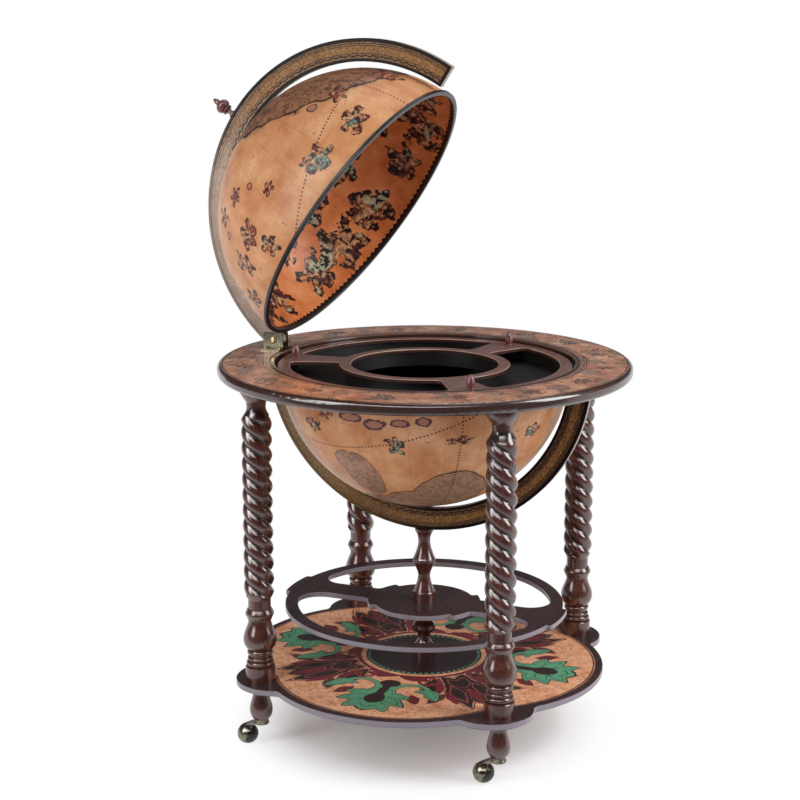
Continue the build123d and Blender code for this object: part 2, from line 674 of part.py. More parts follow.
def make_knob(x, y):
    """Egg-shaped finger knob with a spigot in the insert."""
    seat = insert_top_z
    knob = turned(
        [
            (KNOB_SPIGOT_RADIUS, seat - INSERT_THICKNESS + 1),
            (KNOB_SPIGOT_RADIUS, seat),
            (KNOB_RADIUS - 1, seat),
            (KNOB_RADIUS - 0.6, seat + 1.2, "s"),
            (KNOB_RADIUS - 1.6, seat + 2.4),
            (KNOB_RADIUS - 0.3, seat + 0.24 * KNOB_HEIGHT, "s"),
            (KNOB_RADIUS, seat + 0.4 * KNOB_HEIGHT, "s"),
            (KNOB_RADIUS - 0.9, seat + 0.62 * KNOB_HEIGHT, "s"),
            (KNOB_RADIUS - 3, seat + 0.85 * KNOB_HEIGHT, "s"),
            (1, seat + KNOB_HEIGHT),
        ]
    )
    return Pos(x, y, 0) * knob


# ---------------------------------------------------------------- globe


def shell(radius):
    """Hollow sphere at the globe's centre."""
    return ball(radius, globe_centre_z) - ball(radius - SHELL_WALL, globe_centre_z)


def below(height):
    """Everything of the globe and its band under a height."""
    reach = band_outer + OVERCUT
    return block((-reach, -reach, globe_centre_z - reach), (reach, reach, height))


def above(height):
    """Everything of the globe and its band over a height."""
    reach = band_outer + OVERCUT
    return block((-reach, -reach, height), (reach, reach, globe_centre_z + reach))


def make_lower_hemisphere():
    cup = shell(GLOBE_RADIUS) & below(well_ring_bottom_z)
    return cup - tube(ROD_RADIUS + SLIP, 0, globe_bottom_z - 2, globe_bottom_z + 10)


def make_upper_hemisphere():
    dome = shell(GLOBE_RADIUS) & above(lid_rim_top_z)
    top = globe_centre_z + GLOBE_RADIUS
    dome -= tube(POLE_BOLT_RADIUS + SLIP, 0, top - 10, top + 2)
    for angle in LID_BOLT_ANGLES:
        dome -= radial_rod(SCREW_RADIUS + SLIP, GLOBE_RADIUS - 10, GLOBE_RADIUS + 2, angle)
    return dome


def make_lid_rim():
    rim = tube(
        lid_rim_outer, lid_rim_inner, lid_rim_bottom_z, lid_rim_top_z
    )
    return fillet(rim.edges().filter_by(GeomType.CIRCLE), LID_RIM_HEIGHT / 5)


def radial_rod(radius, inner, outer, angle):
    """Rod at the hinge side, pointing away from the globe's centre at an angle."""
    rod = Pos(0, 0, (inner + outer) / 2) * Cylinder(radius, outer - inner)
    return Pos(0, 0, globe_centre_z) * Rot(angle - 90, 0, 0) * rod


def full_band():
    """Flat ring about the globe with raised borders on both faces."""
    middle = Pos(0, 0, globe_centre_z)
    outer = Cylinder(band_outer, BAND_THICKNESS)
    ring = outer - Cylinder(band_inner, BAND_THICKNESS + 2)
    ring = fillet(ring.edges().filter_by(GeomType.CIRCLE), BAND_BORDER_HEIGHT)
    field = Cylinder(band_outer - BAND_OUTER_BORDER, 2 * BAND_BORDER_HEIGHT)
    field -= Cylinder(band_inner + BAND_INNER_BORDER, 3 * BAND_BORDER_HEIGHT)
    for side in (-1, 1):
        ring -= Pos(0, 0, side * band_half) * field
    return middle * Rot(0, 90, 0) * ring


def make_lower_band():
    band = full_band() & below(table_bottom_z)
    hole_low, hole_high = band_outer_bottom_z - 2, band_inner_bottom_z + 2
    band -= tube(ROD_RADIUS + SLIP, 0, hole_low, hole_high)
    for side in (-1, 1):
        hole = SCREW_RADIUS + SLIP
        reach = bracket_seat_x - SCREW_LENGTH
        band -= lying_cylinder(
            hole, reach, band_half + OVERCUT, side * bracket_middle_y, bracket_screw_z
        )
    return band


def make_upper_band():
    """Band over the closed lid, with a knuckle for the hinge bolt."""
    shoulder_z = hinge_z + KNUCKLE_SHOULDER_HEIGHT
    front = radians(LID_BAND_END_ANGLE)
    reach = 2 * band_outer
    front_point = (reach * cos(front), globe_centre_z + reach * sin(front))
    keep = Plane.YZ * make_face(
        Polyline(
            (0, globe_centre_z),
            front_point,
            (-reach, globe_centre_z + reach),
            (reach, globe_centre_z + reach),
            (reach, shoulder_z),
            (0, shoulder_z),
            close=True,
        )
    )
    band = full_band() & extrude(keep, BAND_THICKNESS, both=True)
    knuckle = lying_cylinder(KNUCKLE_RADIUS, -band_half, band_half, hinge_y, hinge_z)
    band += knuckle
    band -= lying_cylinder(
        HINGE_BOLT_RADIUS + SLIP, -BAND_THICKNESS, BAND_THICKNESS, hinge_y, hinge_z
    )
    top = globe_centre_z + band_outer
    inner_top = globe_centre_z + band_inner
    band -= tube(POLE_BOLT_RADIUS + SLIP, 0, inner_top - 2, top + 2)
    for angle in LID_BOLT_ANGLES:
        far = band_inner + LID_BOLT_LENGTH + SEAT_GAP
        band -= radial_rod(SCREW_RADIUS + SLIP, GLOBE_RADIUS, far, angle)
    return band


def make_hinge_block():
    """Spacer between the lid's shell and the band at the hinge."""
    low = lid_rim_top_z + SEAT_GAP
    piece = block(
        (-band_half, 0, low), (band_half, band_outer, low + HINGE_BLOCK_HEIGHT)
    )
    piece &= lying_cylinder(
        band_inner - SEAT_GAP, -band_half, band_half, 0, globe_centre_z
    )
    piece -= ball(GLOBE_RADIUS + SEAT_GAP, globe_centre_z)
    for angle in LID_BOLT_ANGLES:
        piece -= radial_rod(SCREW_RADIUS + SLIP, GLOBE_RADIUS - 5, band_outer, angle)
    return piece


def make_lid_bolts():
    bolts = []
    seat = shell_inside - SLIP
    for angle in LID_BOLT_ANGLES:
        bolt = radial_rod(SCREW_RADIUS, seat - 1, band_inner + LID_BOLT_LENGTH, angle)
        head = seat - SCREW_HEAD_HEIGHT
        bolt += radial_rod(SCREW_HEAD_RADIUS, head, seat, angle)
        bolts.append(opened(bolt))
    return Compound(children=bolts)


def make_pole_bolt():
    seat = globe_centre_z + shell_inside - SEAT_GAP
    washer_bottom = seat - POLE_WASHER_THICKNESS
    head_bottom = washer_bottom - POLE_BOLT_HEAD_HEIGHT
    tip = globe_centre_z + band_outer + POLE_BOLT_LENGTH
    head = tube(POLE_BOLT_HEAD_RADIUS, 0, head_bottom, washer_bottom)
    return head + tube(POLE_BOLT_RADIUS, 0, washer_bottom, tip)


def make_pole_washer():
    seat = globe_centre_z + shell_inside - SEAT_GAP
    hole = POLE_BOLT_RADIUS + SLIP
    return tube(POLE_WASHER_RADIUS, hole, seat - POLE_WASHER_THICKNESS, seat)


def make_pole_spacer():
    low = globe_centre_z + GLOBE_RADIUS + SLIP
    high = globe_centre_z + band_inner - SEAT_GAP
    return tube(POLE_SPACER_RADIUS, POLE_BOLT_RADIUS + SLIP, low, high)


# ---------------------------------------------------------------- insert


def make_well_ring():
    """Ring glued in the table's hole; the insert rests on it."""
    return tube(
        well_radius - SLIP, well_ring_inner, well_ring_bottom_z, well_ring_top_z
    )


def slot_outline(middle_angle):
    half = 180 / SLOT_COUNT - SLOT_WEB_HALF_ANGLE
    ring = Circle(slot_outer) - Circle(slot_inner)
    slot = ring & wedge(middle_angle, half, 2 * insert_radius)
    return fillet(slot.vertices(), SLOT_CORNER_RADIUS)


def make_insert_disc():
    """Lift-out disc with a round bottle well and curved slots for glasses."""
    outline = Circle(insert_radius) - Circle(bottle_well_radius)
    for angle in web_angles:
        outline -= slot_outline(angle + 180 / SLOT_COUNT)
    disc = Pos(0, 0, well_ring_top_z) * extrude(outline, INSERT_THICKNESS)
    disc = fillet(disc.faces().sort_by(Axis.Z)[-1].edges(), INSERT_THICKNESS / 5)
    for x, y in knob_places:
        hole = tube(KNOB_SPIGOT_RADIUS + SLIP, 0, well_ring_top_z - OVERCUT, insert_top_z + OVERCUT)
        disc -= Pos(x, y, 0) * hole
    return disc


knob_places = [polar(knob_circle, angle) for angle in web_angles]


def make_glass_tray():
    """Ring trough under the slots, which the glasses stand in."""
    trough = tube(tray_outer, tray_inner, tray_bottom_z, well_ring_top_z)
    return trough - tube(
        tray_outer - TRAY_WALL,
        tray_inner + TRAY_WALL,
        tray_bottom_z + TRAY_WALL,
        well_ring_top_z + OVERCUT,
    )


def make_bottle_floor():
    """Disc that the bottles stand on, resting low in the hemisphere."""
    drop = globe_centre_z - floor_bottom_z
    radius = sqrt(shell_inside**2 - drop**2) - 2 * SEAT_GAP
    return tube(radius, 0, floor_bottom_z, floor_top_z)


def make_clamp_block():
    """Block under the bottle floor, through which the centre rod clamps the globe."""
    seat = globe_centre_z - sqrt(shell_inside**2 - CLAMP_BLOCK_RADIUS**2) + SLIP
    piece = tube(CLAMP_BLOCK_RADIUS, ROD_RADIUS + SLIP, seat, floor_bottom_z)
    recess = floor_bottom_z - NUT_RECESS_DEPTH
    return piece - tube(NUT_RECESS_RADIUS, 0, recess, floor_bottom_z + OVERCUT)


def hexagon_nut(radius, hole, bottom, height):
    outline = RegularPolygon(radius, 6) - Circle(hole)
    return Pos(0, 0, bottom) * extrude(outline, height)


# ---------------------------------------------------------------- hinge on the table


def make_hinge_bracket():
    """Metal bracket: two cheeks, a front web and a screw flange each side."""
    y_low, y_high = hinge_y - CHEEK_HALF_LENGTH, hinge_y + CHEEK_HALF_LENGTH
    cheek_top = hinge_z + CHEEK_TOP_HEIGHT
    bracket = block(
        (-cheek_outside, y_low, TABLE_TOP_Z),
        (cheek_outside, y_low + WEB_THICKNESS, hinge_z - WEB_TOP_DEPTH),
    )
    for side in (-1, 1):
        x_low, x_high = sorted((side * cheek_inside, side * cheek_outside))
        cheek = block((x_low, y_low, TABLE_TOP_Z), (x_high, y_high, cheek_top))
        corners = cheek.edges().filter_by(Axis.X).sort_by(Axis.Z)[-2:]
        bracket += fillet(corners, CHEEK_CORNER_RADIUS)
        x_low, x_high = sorted((side * cheek_inside, side * flange_end))
        flange_top = TABLE_TOP_Z + FLANGE_THICKNESS
        bracket += block((x_low, y_low, TABLE_TOP_Z), (x_high, y_high, flange_top))
    bracket -= lying_cylinder(
        HINGE_BOLT_RADIUS + SLIP, -cheek_outside - OVERCUT, cheek_outside + OVERCUT, hinge_y, hinge_z
    )
    for x, y in hinge_screw_places:
        bracket -= Pos(x, y, 0) * screw_hole(TABLE_TOP_Z)
    return bracket


def make_hinge_bolt():
    """Bolt through the cheeks and the knuckle, with a domed head at one end."""
    shaft = lying_cylinder(
        HINGE_BOLT_RADIUS, -cheek_outside, cheek_outside, hinge_y, hinge_z
    )
    head = lying_cylinder(
        HINGE_BOLT_HEAD_RADIUS,
        -cheek_outside - HINGE_BOLT_HEAD_HEIGHT,
        -cheek_outside,
        hinge_y,
        hinge_z,
    )
    dome = head.faces().sort_by(Axis.X)[0].edges()
    head = fillet(dome, 0.7 * HINGE_BOLT_HEAD_HEIGHT)
    tail = lying_cylinder(
        HINGE_BOLT_HEAD_RADIUS,
        cheek_outside,
        cheek_outside + HINGE_BOLT_HEAD_HEIGHT,
        hinge_y,
        hinge_z,
    )
    return shaft + head + tail


# ---------------------------------------------------------------- band brackets


def make_band_bracket(side):
    """Angle that holds one end of the lower band to the table's underside."""
    y = side * bracket_middle_y
    y_low, y_high = y - BRACKET_WIDTH / 2, y + BRACKET_WIDTH / 2
    seat, top = bracket_seat_x, table_bottom_z
    angle = block(
        (seat, y_low, top - BRACKET_LEG_LENGTH), (seat + BRACKET_THICKNESS, y_high, top)
    )
    angle += block(
        (seat, y_low, top - BRACKET_THICKNESS), (seat + BRACKET_LEG_LENGTH, y_high, top)
    )
    angle -= Pos(bracket_screw_x, y, 0) * screw_hole(table_bottom_z)
    return angle - lying_cylinder(
        SCREW_RADIUS + SLIP, seat - OVERCUT, seat + BRACKET_LEG_LENGTH, y, bracket_screw_z
    )


def make_bracket_screws():
    screws = []
    for side in (-1, 1):
        y = side * bracket_middle_y
        upward = Rot(180, 0, 0) * screw(0)
        seat = table_bottom_z - BRACKET_THICKNESS
        screws.append(Pos(bracket_screw_x, y, seat) * upward)
        sideways = Rot(0, 90, 0) * screw(0)
        seat = bracket_seat_x + BRACKET_THICKNESS
        screws.append(Pos(seat, y, bracket_screw_z) * sideways)
    return Compound(children=screws)


# ---------------------------------------------------------------- casters

caster_heading = Vector(*polar(1, CASTER_HEADING), 0)
ball_offset = caster_heading * CASTER_TRAIL_LENGTH + Vector(0, 0, BALL_RADIUS)
hood_outside = BALL_RADIUS + HOOD_MARGIN
hood_inside = hood_outside - HOOD_WALL
boss_top_z = FOOT_BOTTOM_Z - CASTER_PLATE_THICKNESS - SEAT_GAP
boss_bottom_z = boss_top_z - CASTER_BOSS_HEIGHT


def on_axle(shape):
    """Stand an upright shape at the ball's middle along the sloping axle."""
    tilt = Rot(0, 0, CASTER_HEADING) * Rot(0, 90 - CASTER_AXLE_RISE, 0)
    return Pos(*ball_offset) * tilt * shape


def past(height):
    """Everything along the axle over a height from the ball's middle."""
    reach = 3 * hood_outside
    return Pos(0, 0, height + reach / 2) * Box(reach, reach, reach)


def make_caster_ball():
    """Wheel: the part of the ball under the hood's rim, on the axle's lower end."""
    face = -HOOD_SKIRT_LENGTH - WHEEL_GAP
    wheel = Sphere(BALL_RADIUS) - past(face)
    hole = CASTER_AXLE_RADIUS + SLIP
    return on_axle(wheel - tube(hole, 0, -CASTER_AXLE_REACH - SEAT_GAP, 0))


def make_caster_axle():
    return on_axle(Cylinder(CASTER_AXLE_RADIUS, 2 * CASTER_AXLE_REACH))


def make_caster_arm():
    """Short arm from the swivel boss down to the top of the hood."""
    ball_x, ball_z = CASTER_TRAIL_LENGTH, BALL_RADIUS
    in_wall = (hood_outside + hood_inside) / 2
    near_x, near_z = polar(in_wall, 115)
    mid_x, mid_z = polar(in_wall, 88)
    far_x, far_z = polar(in_wall, 72)
    start = (0.5 * CASTER_BOSS_RADIUS, boss_top_z)
    edge = (CASTER_BOSS_RADIUS, boss_top_z - 0.8)
    over = (ball_x - 3.5, ball_z + hood_outside + 1.8)
    far = (ball_x + far_x, ball_z + far_z)
    middle = (ball_x + mid_x, ball_z + mid_z)
    close = (ball_x + near_x, ball_z + near_z)
    under = (CASTER_BOSS_RADIUS - 1.5, boss_bottom_z)
    back = (0.5 * CASTER_BOSS_RADIUS, boss_bottom_z)
    top = ThreePointArc(edge, over, far)
    rest = Polyline(far, middle, close, under, back, start, edge)
    outline = Plane.XZ * make_face([top, rest])
    arm = extrude(outline, CASTER_ARM_HALF_WIDTH, both=True)
    return Rot(0, 0, CASTER_HEADING) * arm


def make_caster_hood():
    """Hollow half ball over the wheel, with its hub, arm, boss and swivel stem."""
    cup = (Sphere(hood_outside) - Sphere(hood_inside)) & past(-HOOD_SKIRT_LENGTH)
    cup += tube(HOOD_HUB_RADIUS, 0, -HOOD_SKIRT_LENGTH, hood_inside + 0.5 * HOOD_WALL)
    cup -= tube(CASTER_AXLE_RADIUS + SLIP, 0, -BALL_RADIUS, CASTER_AXLE_REACH + SEAT_GAP)
    hood = on_axle(cup) + make_caster_arm()
    boss = tube(CASTER_BOSS_RADIUS, 0, boss_bottom_z, boss_top_z)
    hood += fillet(boss.edges().filter_by(GeomType.CIRCLE), 0.2 * CASTER_BOSS_HEIGHT)
    return hood + tube(CASTER_STEM_RADIUS, 0, boss_top_z - 1, stem_top_z)


def make_caster_plate():
    top = FOOT_BOTTOM_Z
    hole = CASTER_STEM_RADIUS + SLIP
    return tube(CASTER_PLATE_RADIUS, hole, top - CASTER_PLATE_THICKNESS, top)


# ---------------------------------------------------------------- make and write

os.makedirs("parts", exist_ok=True)

save("shelf", make_shelf())
save("bottle_ring", make_bottle_ring())
save("table_top", make_table_top())

leg = make_leg()
foot = make_foot()
hood = make_caster_hood()
wheel = make_caster_ball()
axle = make_caster_axle()
leg_bolt_top = SHELF_TOP_Z + LEG_BOLT_LENGTH
leg_bolts, caster_plates = [], []
for name, angle, (x, y) in zip(leg_names, leg_angles, leg_places):
    place = Pos(x, y, 0)
    save("leg_" + name, place * Rot(0, 0, angle) * leg)
    save("foot_" + name, place * foot)
    save("caster_hood_" + name, place * hood)
    save("caster_ball_" + name, place * wheel)
    save("caster_axle_" + name, place * axle)
    leg_bolts.append(place * tube(LEG_BOLT_RADIUS, 0, leg_bolt_bottom_z + SEAT_GAP, leg_bolt_top))
    caster_plates.append(place * make_caster_plate())
save("leg_bolts", Compound(children=leg_bolts))
save("caster_plates", Compound(children=caster_plates))

save("spindle_upper", make_spindle(RING_TOP_Z, band_outer_bottom_z - SLIP))
save("spindle_lower", make_spindle(SHELF_TOP_Z, ring_bottom_z))
rod_top = floor_bottom_z - 2
upper_nut_z = floor_bottom_z - NUT_RECESS_DEPTH
washer_bottom = shelf_bottom_z - WASHER_THICKNESS
lower_nut_z = washer_bottom - ROD_NUT_HEIGHT
save("centre_rod", tube(ROD_RADIUS, 0, lower_nut_z - 3, rod_top))
nut_hole = ROD_RADIUS + SLIP
nuts = [
    hexagon_nut(ROD_NUT_RADIUS, nut_hole, lower_nut_z, ROD_NUT_HEIGHT),
    hexagon_nut(ROD_NUT_RADIUS, nut_hole, upper_nut_z, ROD_NUT_HEIGHT),
]
save("rod_nuts", Compound(children=nuts))
save("rod_washer", tube(WASHER_RADIUS, nut_hole, washer_bottom, shelf_bottom_z))
spacer_low = globe_centre_z - sqrt(band_inner**2 - SPACER_RADIUS**2) + SLIP
save("globe_spacer", tube(SPACER_RADIUS, nut_hole, spacer_low, globe_bottom_z - SLIP))

save("lower_hemisphere", make_lower_hemisphere())
save("lower_band", make_lower_band())
save("well_ring", make_well_ring())
save("clamp_block", make_clamp_block())
save("bottle_floor", make_bottle_floor())
save("band_brackets", Compound(children=[make_band_bracket(side) for side in (-1, 1)]))
save("bracket_screws", make_bracket_screws())

save("insert_disc", make_insert_disc())
save("glass_tray", make_glass_tray())
save("insert_knobs", Compound(children=[make_knob(x, y) for x, y in knob_places]))

save("hinge_bracket", make_hinge_bracket())
save("hinge_bolt", make_hinge_bolt())
flange_top = TABLE_TOP_Z + FLANGE_THICKNESS
hinge_screws = [Pos(x, y, 0) * screw(flange_top) for x, y in hinge_screw_places]
save("hinge_screws", Compound(children=hinge_screws))

save("upper_hemisphere", opened(make_upper_hemisphere()))
save("lid_rim", opened(make_lid_rim()))
save("upper_band", opened(make_upper_band()))
save("hinge_block", opened(make_hinge_block()))
save("lid_bolts", make_lid_bolts())
save("pole_bolt", opened(make_pole_bolt()))
save("pole_washer", opened(make_pole_washer()))
save("pole_spacer", opened(make_pole_spacer()))
save("finial", opened(make_finial()))
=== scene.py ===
# %% [markdown]
# # A globe bar dressed for the studio
# The object is a floor-standing globe bar: turned legs, a printed shelf and table,
# and a globe whose upper half opens on a hinge. Its solids come ready made, at their
# real size, in one frame in metres with +Z up. This script never moves them and adds no
# shape to them. It gives each one the finish that its real piece has, and sets up a
# plain studio.

# %% Load the frame
import math

import bpy
from mathutils import Matrix, Vector


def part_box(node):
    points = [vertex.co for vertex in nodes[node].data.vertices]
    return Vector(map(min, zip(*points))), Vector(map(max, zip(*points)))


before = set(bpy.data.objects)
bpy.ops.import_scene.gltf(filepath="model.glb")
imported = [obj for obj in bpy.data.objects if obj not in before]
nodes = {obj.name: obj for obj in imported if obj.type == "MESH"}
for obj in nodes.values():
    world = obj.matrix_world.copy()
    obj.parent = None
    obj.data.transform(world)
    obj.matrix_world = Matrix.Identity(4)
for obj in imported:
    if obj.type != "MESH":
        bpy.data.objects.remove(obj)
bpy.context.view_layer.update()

MM = 0.001

# %% [markdown]
# ## Places that several finishes share
# The prints are drawn by formulas from real places on the object, so the few sizes
# they need are named once, in millimetres. The closed globe sits about a point on the
# vertical axis. The open lid is the closed one turned back about the hinge, and its
# prints are worked out in the closed lid's own place, so they ride with it.

# %% Shared places in millimetres
GLOBE_CENTRE = (0.0, 0.0, 640.0)
HINGE_POINT = (0.0, 279.0, 658.0)
LID_ANGLE = math.radians(56.2)
GLOBE_RADIUS = 246.0
TABLE_TOP = 641.0


def opened(point):
    """Where a point of the closed lid is when the lid stands open."""
    turn = Matrix.Rotation(-LID_ANGLE, 4, "X")
    return Vector(HINGE_POINT) + turn @ (Vector(point) - Vector(HINGE_POINT))


lid_centre = opened(GLOBE_CENTRE)
print("open lid's centre", [round(v, 1) for v in lid_centre])

# %% [markdown]
# ## Small tools
# Colours are written as sRGB hex, the way a paint shop or a screen names them, but
# light is reckoned in linear numbers, so one function turns one into the other. Another
# adds a shader node with its settings and inputs, so that each material below reads as
# a list of steps.

# %% Colour and node helpers
def srgb(code):
    """Linear colour of a hex code such as #c48a62."""
    out = []
    for start in (1, 3, 5):
        value = int(code[start : start + 2], 16) / 255
        out.append(value / 12.92 if value <= 0.04045 else ((value + 0.055) / 1.055) ** 2.4)
    return (*out, 1.0)


def add_node(tree, kind, inputs=(), out=0, stops=None, **settings):
    """Add a shader node and hand back one of its outputs, or all of them if out is None.

    Its kind may carry its operation, as in "Math ADD". Its inputs are a list in socket
    order, or a dict by name or number.
    """
    kind, *operation = kind.split()
    node = tree.nodes.new("ShaderNode" + kind)
    if operation:
        node.operation = operation[0]
    for name, value in settings.items():
        setattr(node, name, value)
    pairs = inputs.items() if isinstance(inputs, dict) else enumerate(inputs)
    for key, value in pairs:
        socket = node.inputs[key]
        if isinstance(value, bpy.types.NodeSocket):
            tree.links.new(value, socket)
        else:
            socket.default_value = value
    if stops:
        ramp = node.color_ramp
        while len(ramp.elements) < len(stops):
            ramp.elements.new(1.0)
        for element, (place, code) in zip(ramp.elements, stops):
            element.position = place
            element.color = srgb(code)
    return node.outputs if out is None else node.outputs[out]


def new_finish(name, **sockets):
    """A material with a Principled shader whose constant sockets are set directly."""
    material = bpy.data.materials.new(name)
    material.use_nodes = True
    tree = material.node_tree
    shader = tree.nodes["Principled BSDF"]
    for key, value in sockets.items():
        shader.inputs[key.replace("_", " ")].default_value = value
    return material, tree, shader


def paint(material, *starts):
    """Put a material on the solids whose names start so, and remember which have one."""
    for name, solid in nodes.items():
        if name.startswith(starts):
            solid.material_slots[0].material = material
            painted.add(name)


painted = set()
print("helpers ready")

# %% [markdown]
# ## Steps that the prints share
# A printed picture is a stack: a paper colour, then patches, outlines and dotted
# lines over it. Each layer is laid where its mask, between 0 and 1, lets it show.
# Patches are ovals placed in millimetres; a little noise added to their distance
# roughens their edge into a coast or a leaf. Nothing is sampled from a picture, so any
# of it can be redrawn.

# %% Print helpers
SMOOTH = {"interpolation_type": "SMOOTHSTEP"}
MIX_A, MIX_B, MIX_OUT = 6, 7, 2            # colour sockets of a Mix node
VECTOR_A, VECTOR_B, VECTOR_OUT = 4, 5, 1   # its vector sockets
LEAF_LENGTH = 0.62           # of a spray's leaves past its heart, in its oval's half sizes
SPRAY_REACH = (1.6, 1.45)    # the same for where every spray has faded out
INK_SHADE, LIGHT_SHADE = (0.49, 0.42), (0.58, 0.64)   # where shading turns to ink or light
PRINT_LIGHT = "#e2c096"


def millimetres(tree, centre=(0.0, 0.0, 0.0), turn=0.0):
    """Surface point in millimetres from a centre, turned about X."""
    where = add_node(tree, "TexCoord", out=3)
    at = [-value * MM for value in centre]
    moved = add_node(tree, "VectorMath ADD", [where, at])
    inputs = {"Vector": moved, "Rotation": (turn, 0, 0), "Scale": (1 / MM,) * 3}
    return add_node(tree, "Mapping", inputs)


def grains(point, size_mm, detail, **more):
    """Inputs for noise whose grains have a real size in millimetres."""
    return {"Vector": point, "Scale": 1 / size_mm, "Detail": detail, **more}


def layered(tree, ground, layers):
    """Lay colours over a ground one after another, each where its mask is 1."""
    for mask, top in layers:
        top = srgb(top) if isinstance(top, str) else top
        inputs = {0: mask, MIX_A: ground, MIX_B: top}
        ground = add_node(tree, "Mix", inputs, MIX_OUT, data_type="RGBA")
    return ground


def where_all(tree, first, *others):
    """1 where each of these masks is 1."""
    for mask in others:
        first = add_node(tree, "Math MULTIPLY", [first, mask])
    return first


def where_any(tree, first, *others):
    """The highest of these masks at each place."""
    for mask in others:
        first = add_node(tree, "Math MAXIMUM", [first, mask])
    return first


def ovals(tree, point, rows, pointed=False):
    """Distance to a set of ovals or pointed leaves, under 1 inside any of them.

    Each row is a middle and half sizes in millimetres, and a turn in radians.
    """
    nearest = None
    for middle, half, turn in rows:
        inputs = {"Vector": point, "Location": middle, "Rotation": turn, "Scale": half}
        local = add_node(tree, "Mapping", inputs, vector_type="TEXTURE")
        size = add_node(tree, "VectorMath LENGTH", [local], 1)
        if pointed:   # halfway between an oval and a diamond, which has corners
            tip = add_node(tree, "VectorMath ABSOLUTE", [local])
            tip = add_node(tree, "VectorMath DOT_PRODUCT", [tip, (0.5, 0.5, 0)], 1)
            size = add_node(tree, "Math MULTIPLY_ADD", [size, 0.5, tip])
        if nearest is not None:
            size = add_node(tree, "Math MINIMUM", [nearest, size])
        nearest = size
    return nearest


def upright_face(tree, low=0.3, high=0.6):
    """1 on faces that stand upright on the solid, 0 on its level faces."""
    normal = add_node(tree, "TexCoord", out=1)
    level = add_node(tree, "VectorMath DOT_PRODUCT", [normal, (0, 0, 1)], 1)
    level = add_node(tree, "Math ABSOLUTE", [level])
    return add_node(tree, "MapRange", [level, high, low], **SMOOTH)


def line_at(tree, value, middle, half, soft):
    """1 where a value is within half of the middle, fading over soft."""
    away = add_node(tree, "Math SUBTRACT", [value, middle])
    away = add_node(tree, "Math ABSOLUTE", [away])
    return add_node(tree, "MapRange", [away, half + soft, half], **SMOOTH)


def roughened(tree, value, point, grain_mm, amount, detail=4.0):
    """A value pushed up and down by noise of a grain size in millimetres."""
    noise = add_node(tree, "TexNoise", grains(point, grain_mm, detail))
    noise = add_node(tree, "Math SUBTRACT", [noise, 0.5])
    return add_node(tree, "Math MULTIPLY_ADD", [noise, amount, value])


def coat_with(tree, shader, colour, height, depth_mm):
    """Give a shader its worked-out colour, and bump whose full rise is a depth in mm."""
    tree.links.new(colour, shader.inputs["Base Color"])
    bump = add_node(tree, "Bump", {"Distance": depth_mm * MM, "Height": height})
    tree.links.new(bump, shader.inputs["Normal"])


def sprays(tree, point, rows, petals=2.5, grain_mm=15.0, warp=0.9, heart=0.4):
    """Leafy engraved sprays inside a set of ovals: their mask and their shading.

    Each oval's depth is its local X, and the spray is drawn in its local Y and Z. Its
    heart is how far out it is whole before it parts into leaves.
    """
    nearest, place = 9.0, (9.0, 9.0, 9.0)
    for middle, half, turn in rows:
        inputs = {"Vector": point, "Location": middle, "Rotation": turn, "Scale": half}
        local = add_node(tree, "Mapping", inputs, vector_type="TEXTURE")
        size = add_node(tree, "VectorMath LENGTH", [local], 1)
        closer = add_node(tree, "Math LESS_THAN", [size, nearest])
        inputs = {0: closer, VECTOR_A: place, VECTOR_B: local}
        place = add_node(tree, "Mix", inputs, VECTOR_OUT, data_type="VECTOR")
        nearest = add_node(tree, "Math MINIMUM", [size, nearest])
    shift = add_node(tree, "TexNoise", grains(point, grain_mm, 4.0), 1)
    shift = add_node(tree, "VectorMath SUBTRACT", [shift, (0.5, 0.5, 0.5)])
    bent = add_node(tree, "VectorMath MULTIPLY_ADD", [shift, (0, warp, warp), place])
    axes = add_node(tree, "SeparateXYZ", [bent], out=None)
    turn = add_node(tree, "Math ARCTAN2", [axes[2], axes[1]])
    leaf = add_node(tree, "Math MULTIPLY", [turn, petals])
    leaf = add_node(tree, "Math COSINE", [leaf])
    leaf = add_node(tree, "Math ABSOLUTE", [leaf])
    leaf = add_node(tree, "Math MULTIPLY_ADD", [leaf, LEAF_LENGTH, heart])
    flat = add_node(tree, "CombineXYZ", [0.0, axes[1], axes[2]])
    size = add_node(tree, "VectorMath LENGTH", [flat], 1)
    size = add_node(tree, "Math DIVIDE", [size, leaf])
    mask = add_node(tree, "MapRange", [size, 1.0, 0.93], **SMOOTH)
    reach = add_node(tree, "MapRange", [nearest, *SPRAY_REACH], **SMOOTH)
    mask = where_all(tree, mask, reach)
    fine = add_node(tree, "TexNoise", grains(point, grain_mm / 2.6, 3.0))
    edge = add_node(tree, "MapRange", [size, 0.72, 0.9, 0.0, 0.16])
    shade = add_node(tree, "Math SUBTRACT", [fine, edge])
    return mask, shade


def inked(tree, point, shade, tones, ink, patch_mm=45.0):
    """Printed figures: each in one of a few tones, with dark ink and pale lights."""
    patch = add_node(tree, "TexNoise", grains(point, patch_mm, 1.0))
    tone = add_node(tree, "ValToRGB", [patch], stops=tones)
    dark = add_node(tree, "MapRange", [shade, *INK_SHADE], **SMOOTH)
    light = add_node(tree, "MapRange", [shade, *LIGHT_SHADE, 0.0, 0.6], **SMOOTH)
    return layered(tree, tone, [(light, PRINT_LIGHT), (dark, ink)])


print("print helpers ready")

# %% [markdown]
# ## Camera
# The view is a long lens from a little above the open lid, with the hinge on the left.
# Its compass angle, downward tilt, distance and aim can each be read on their own.

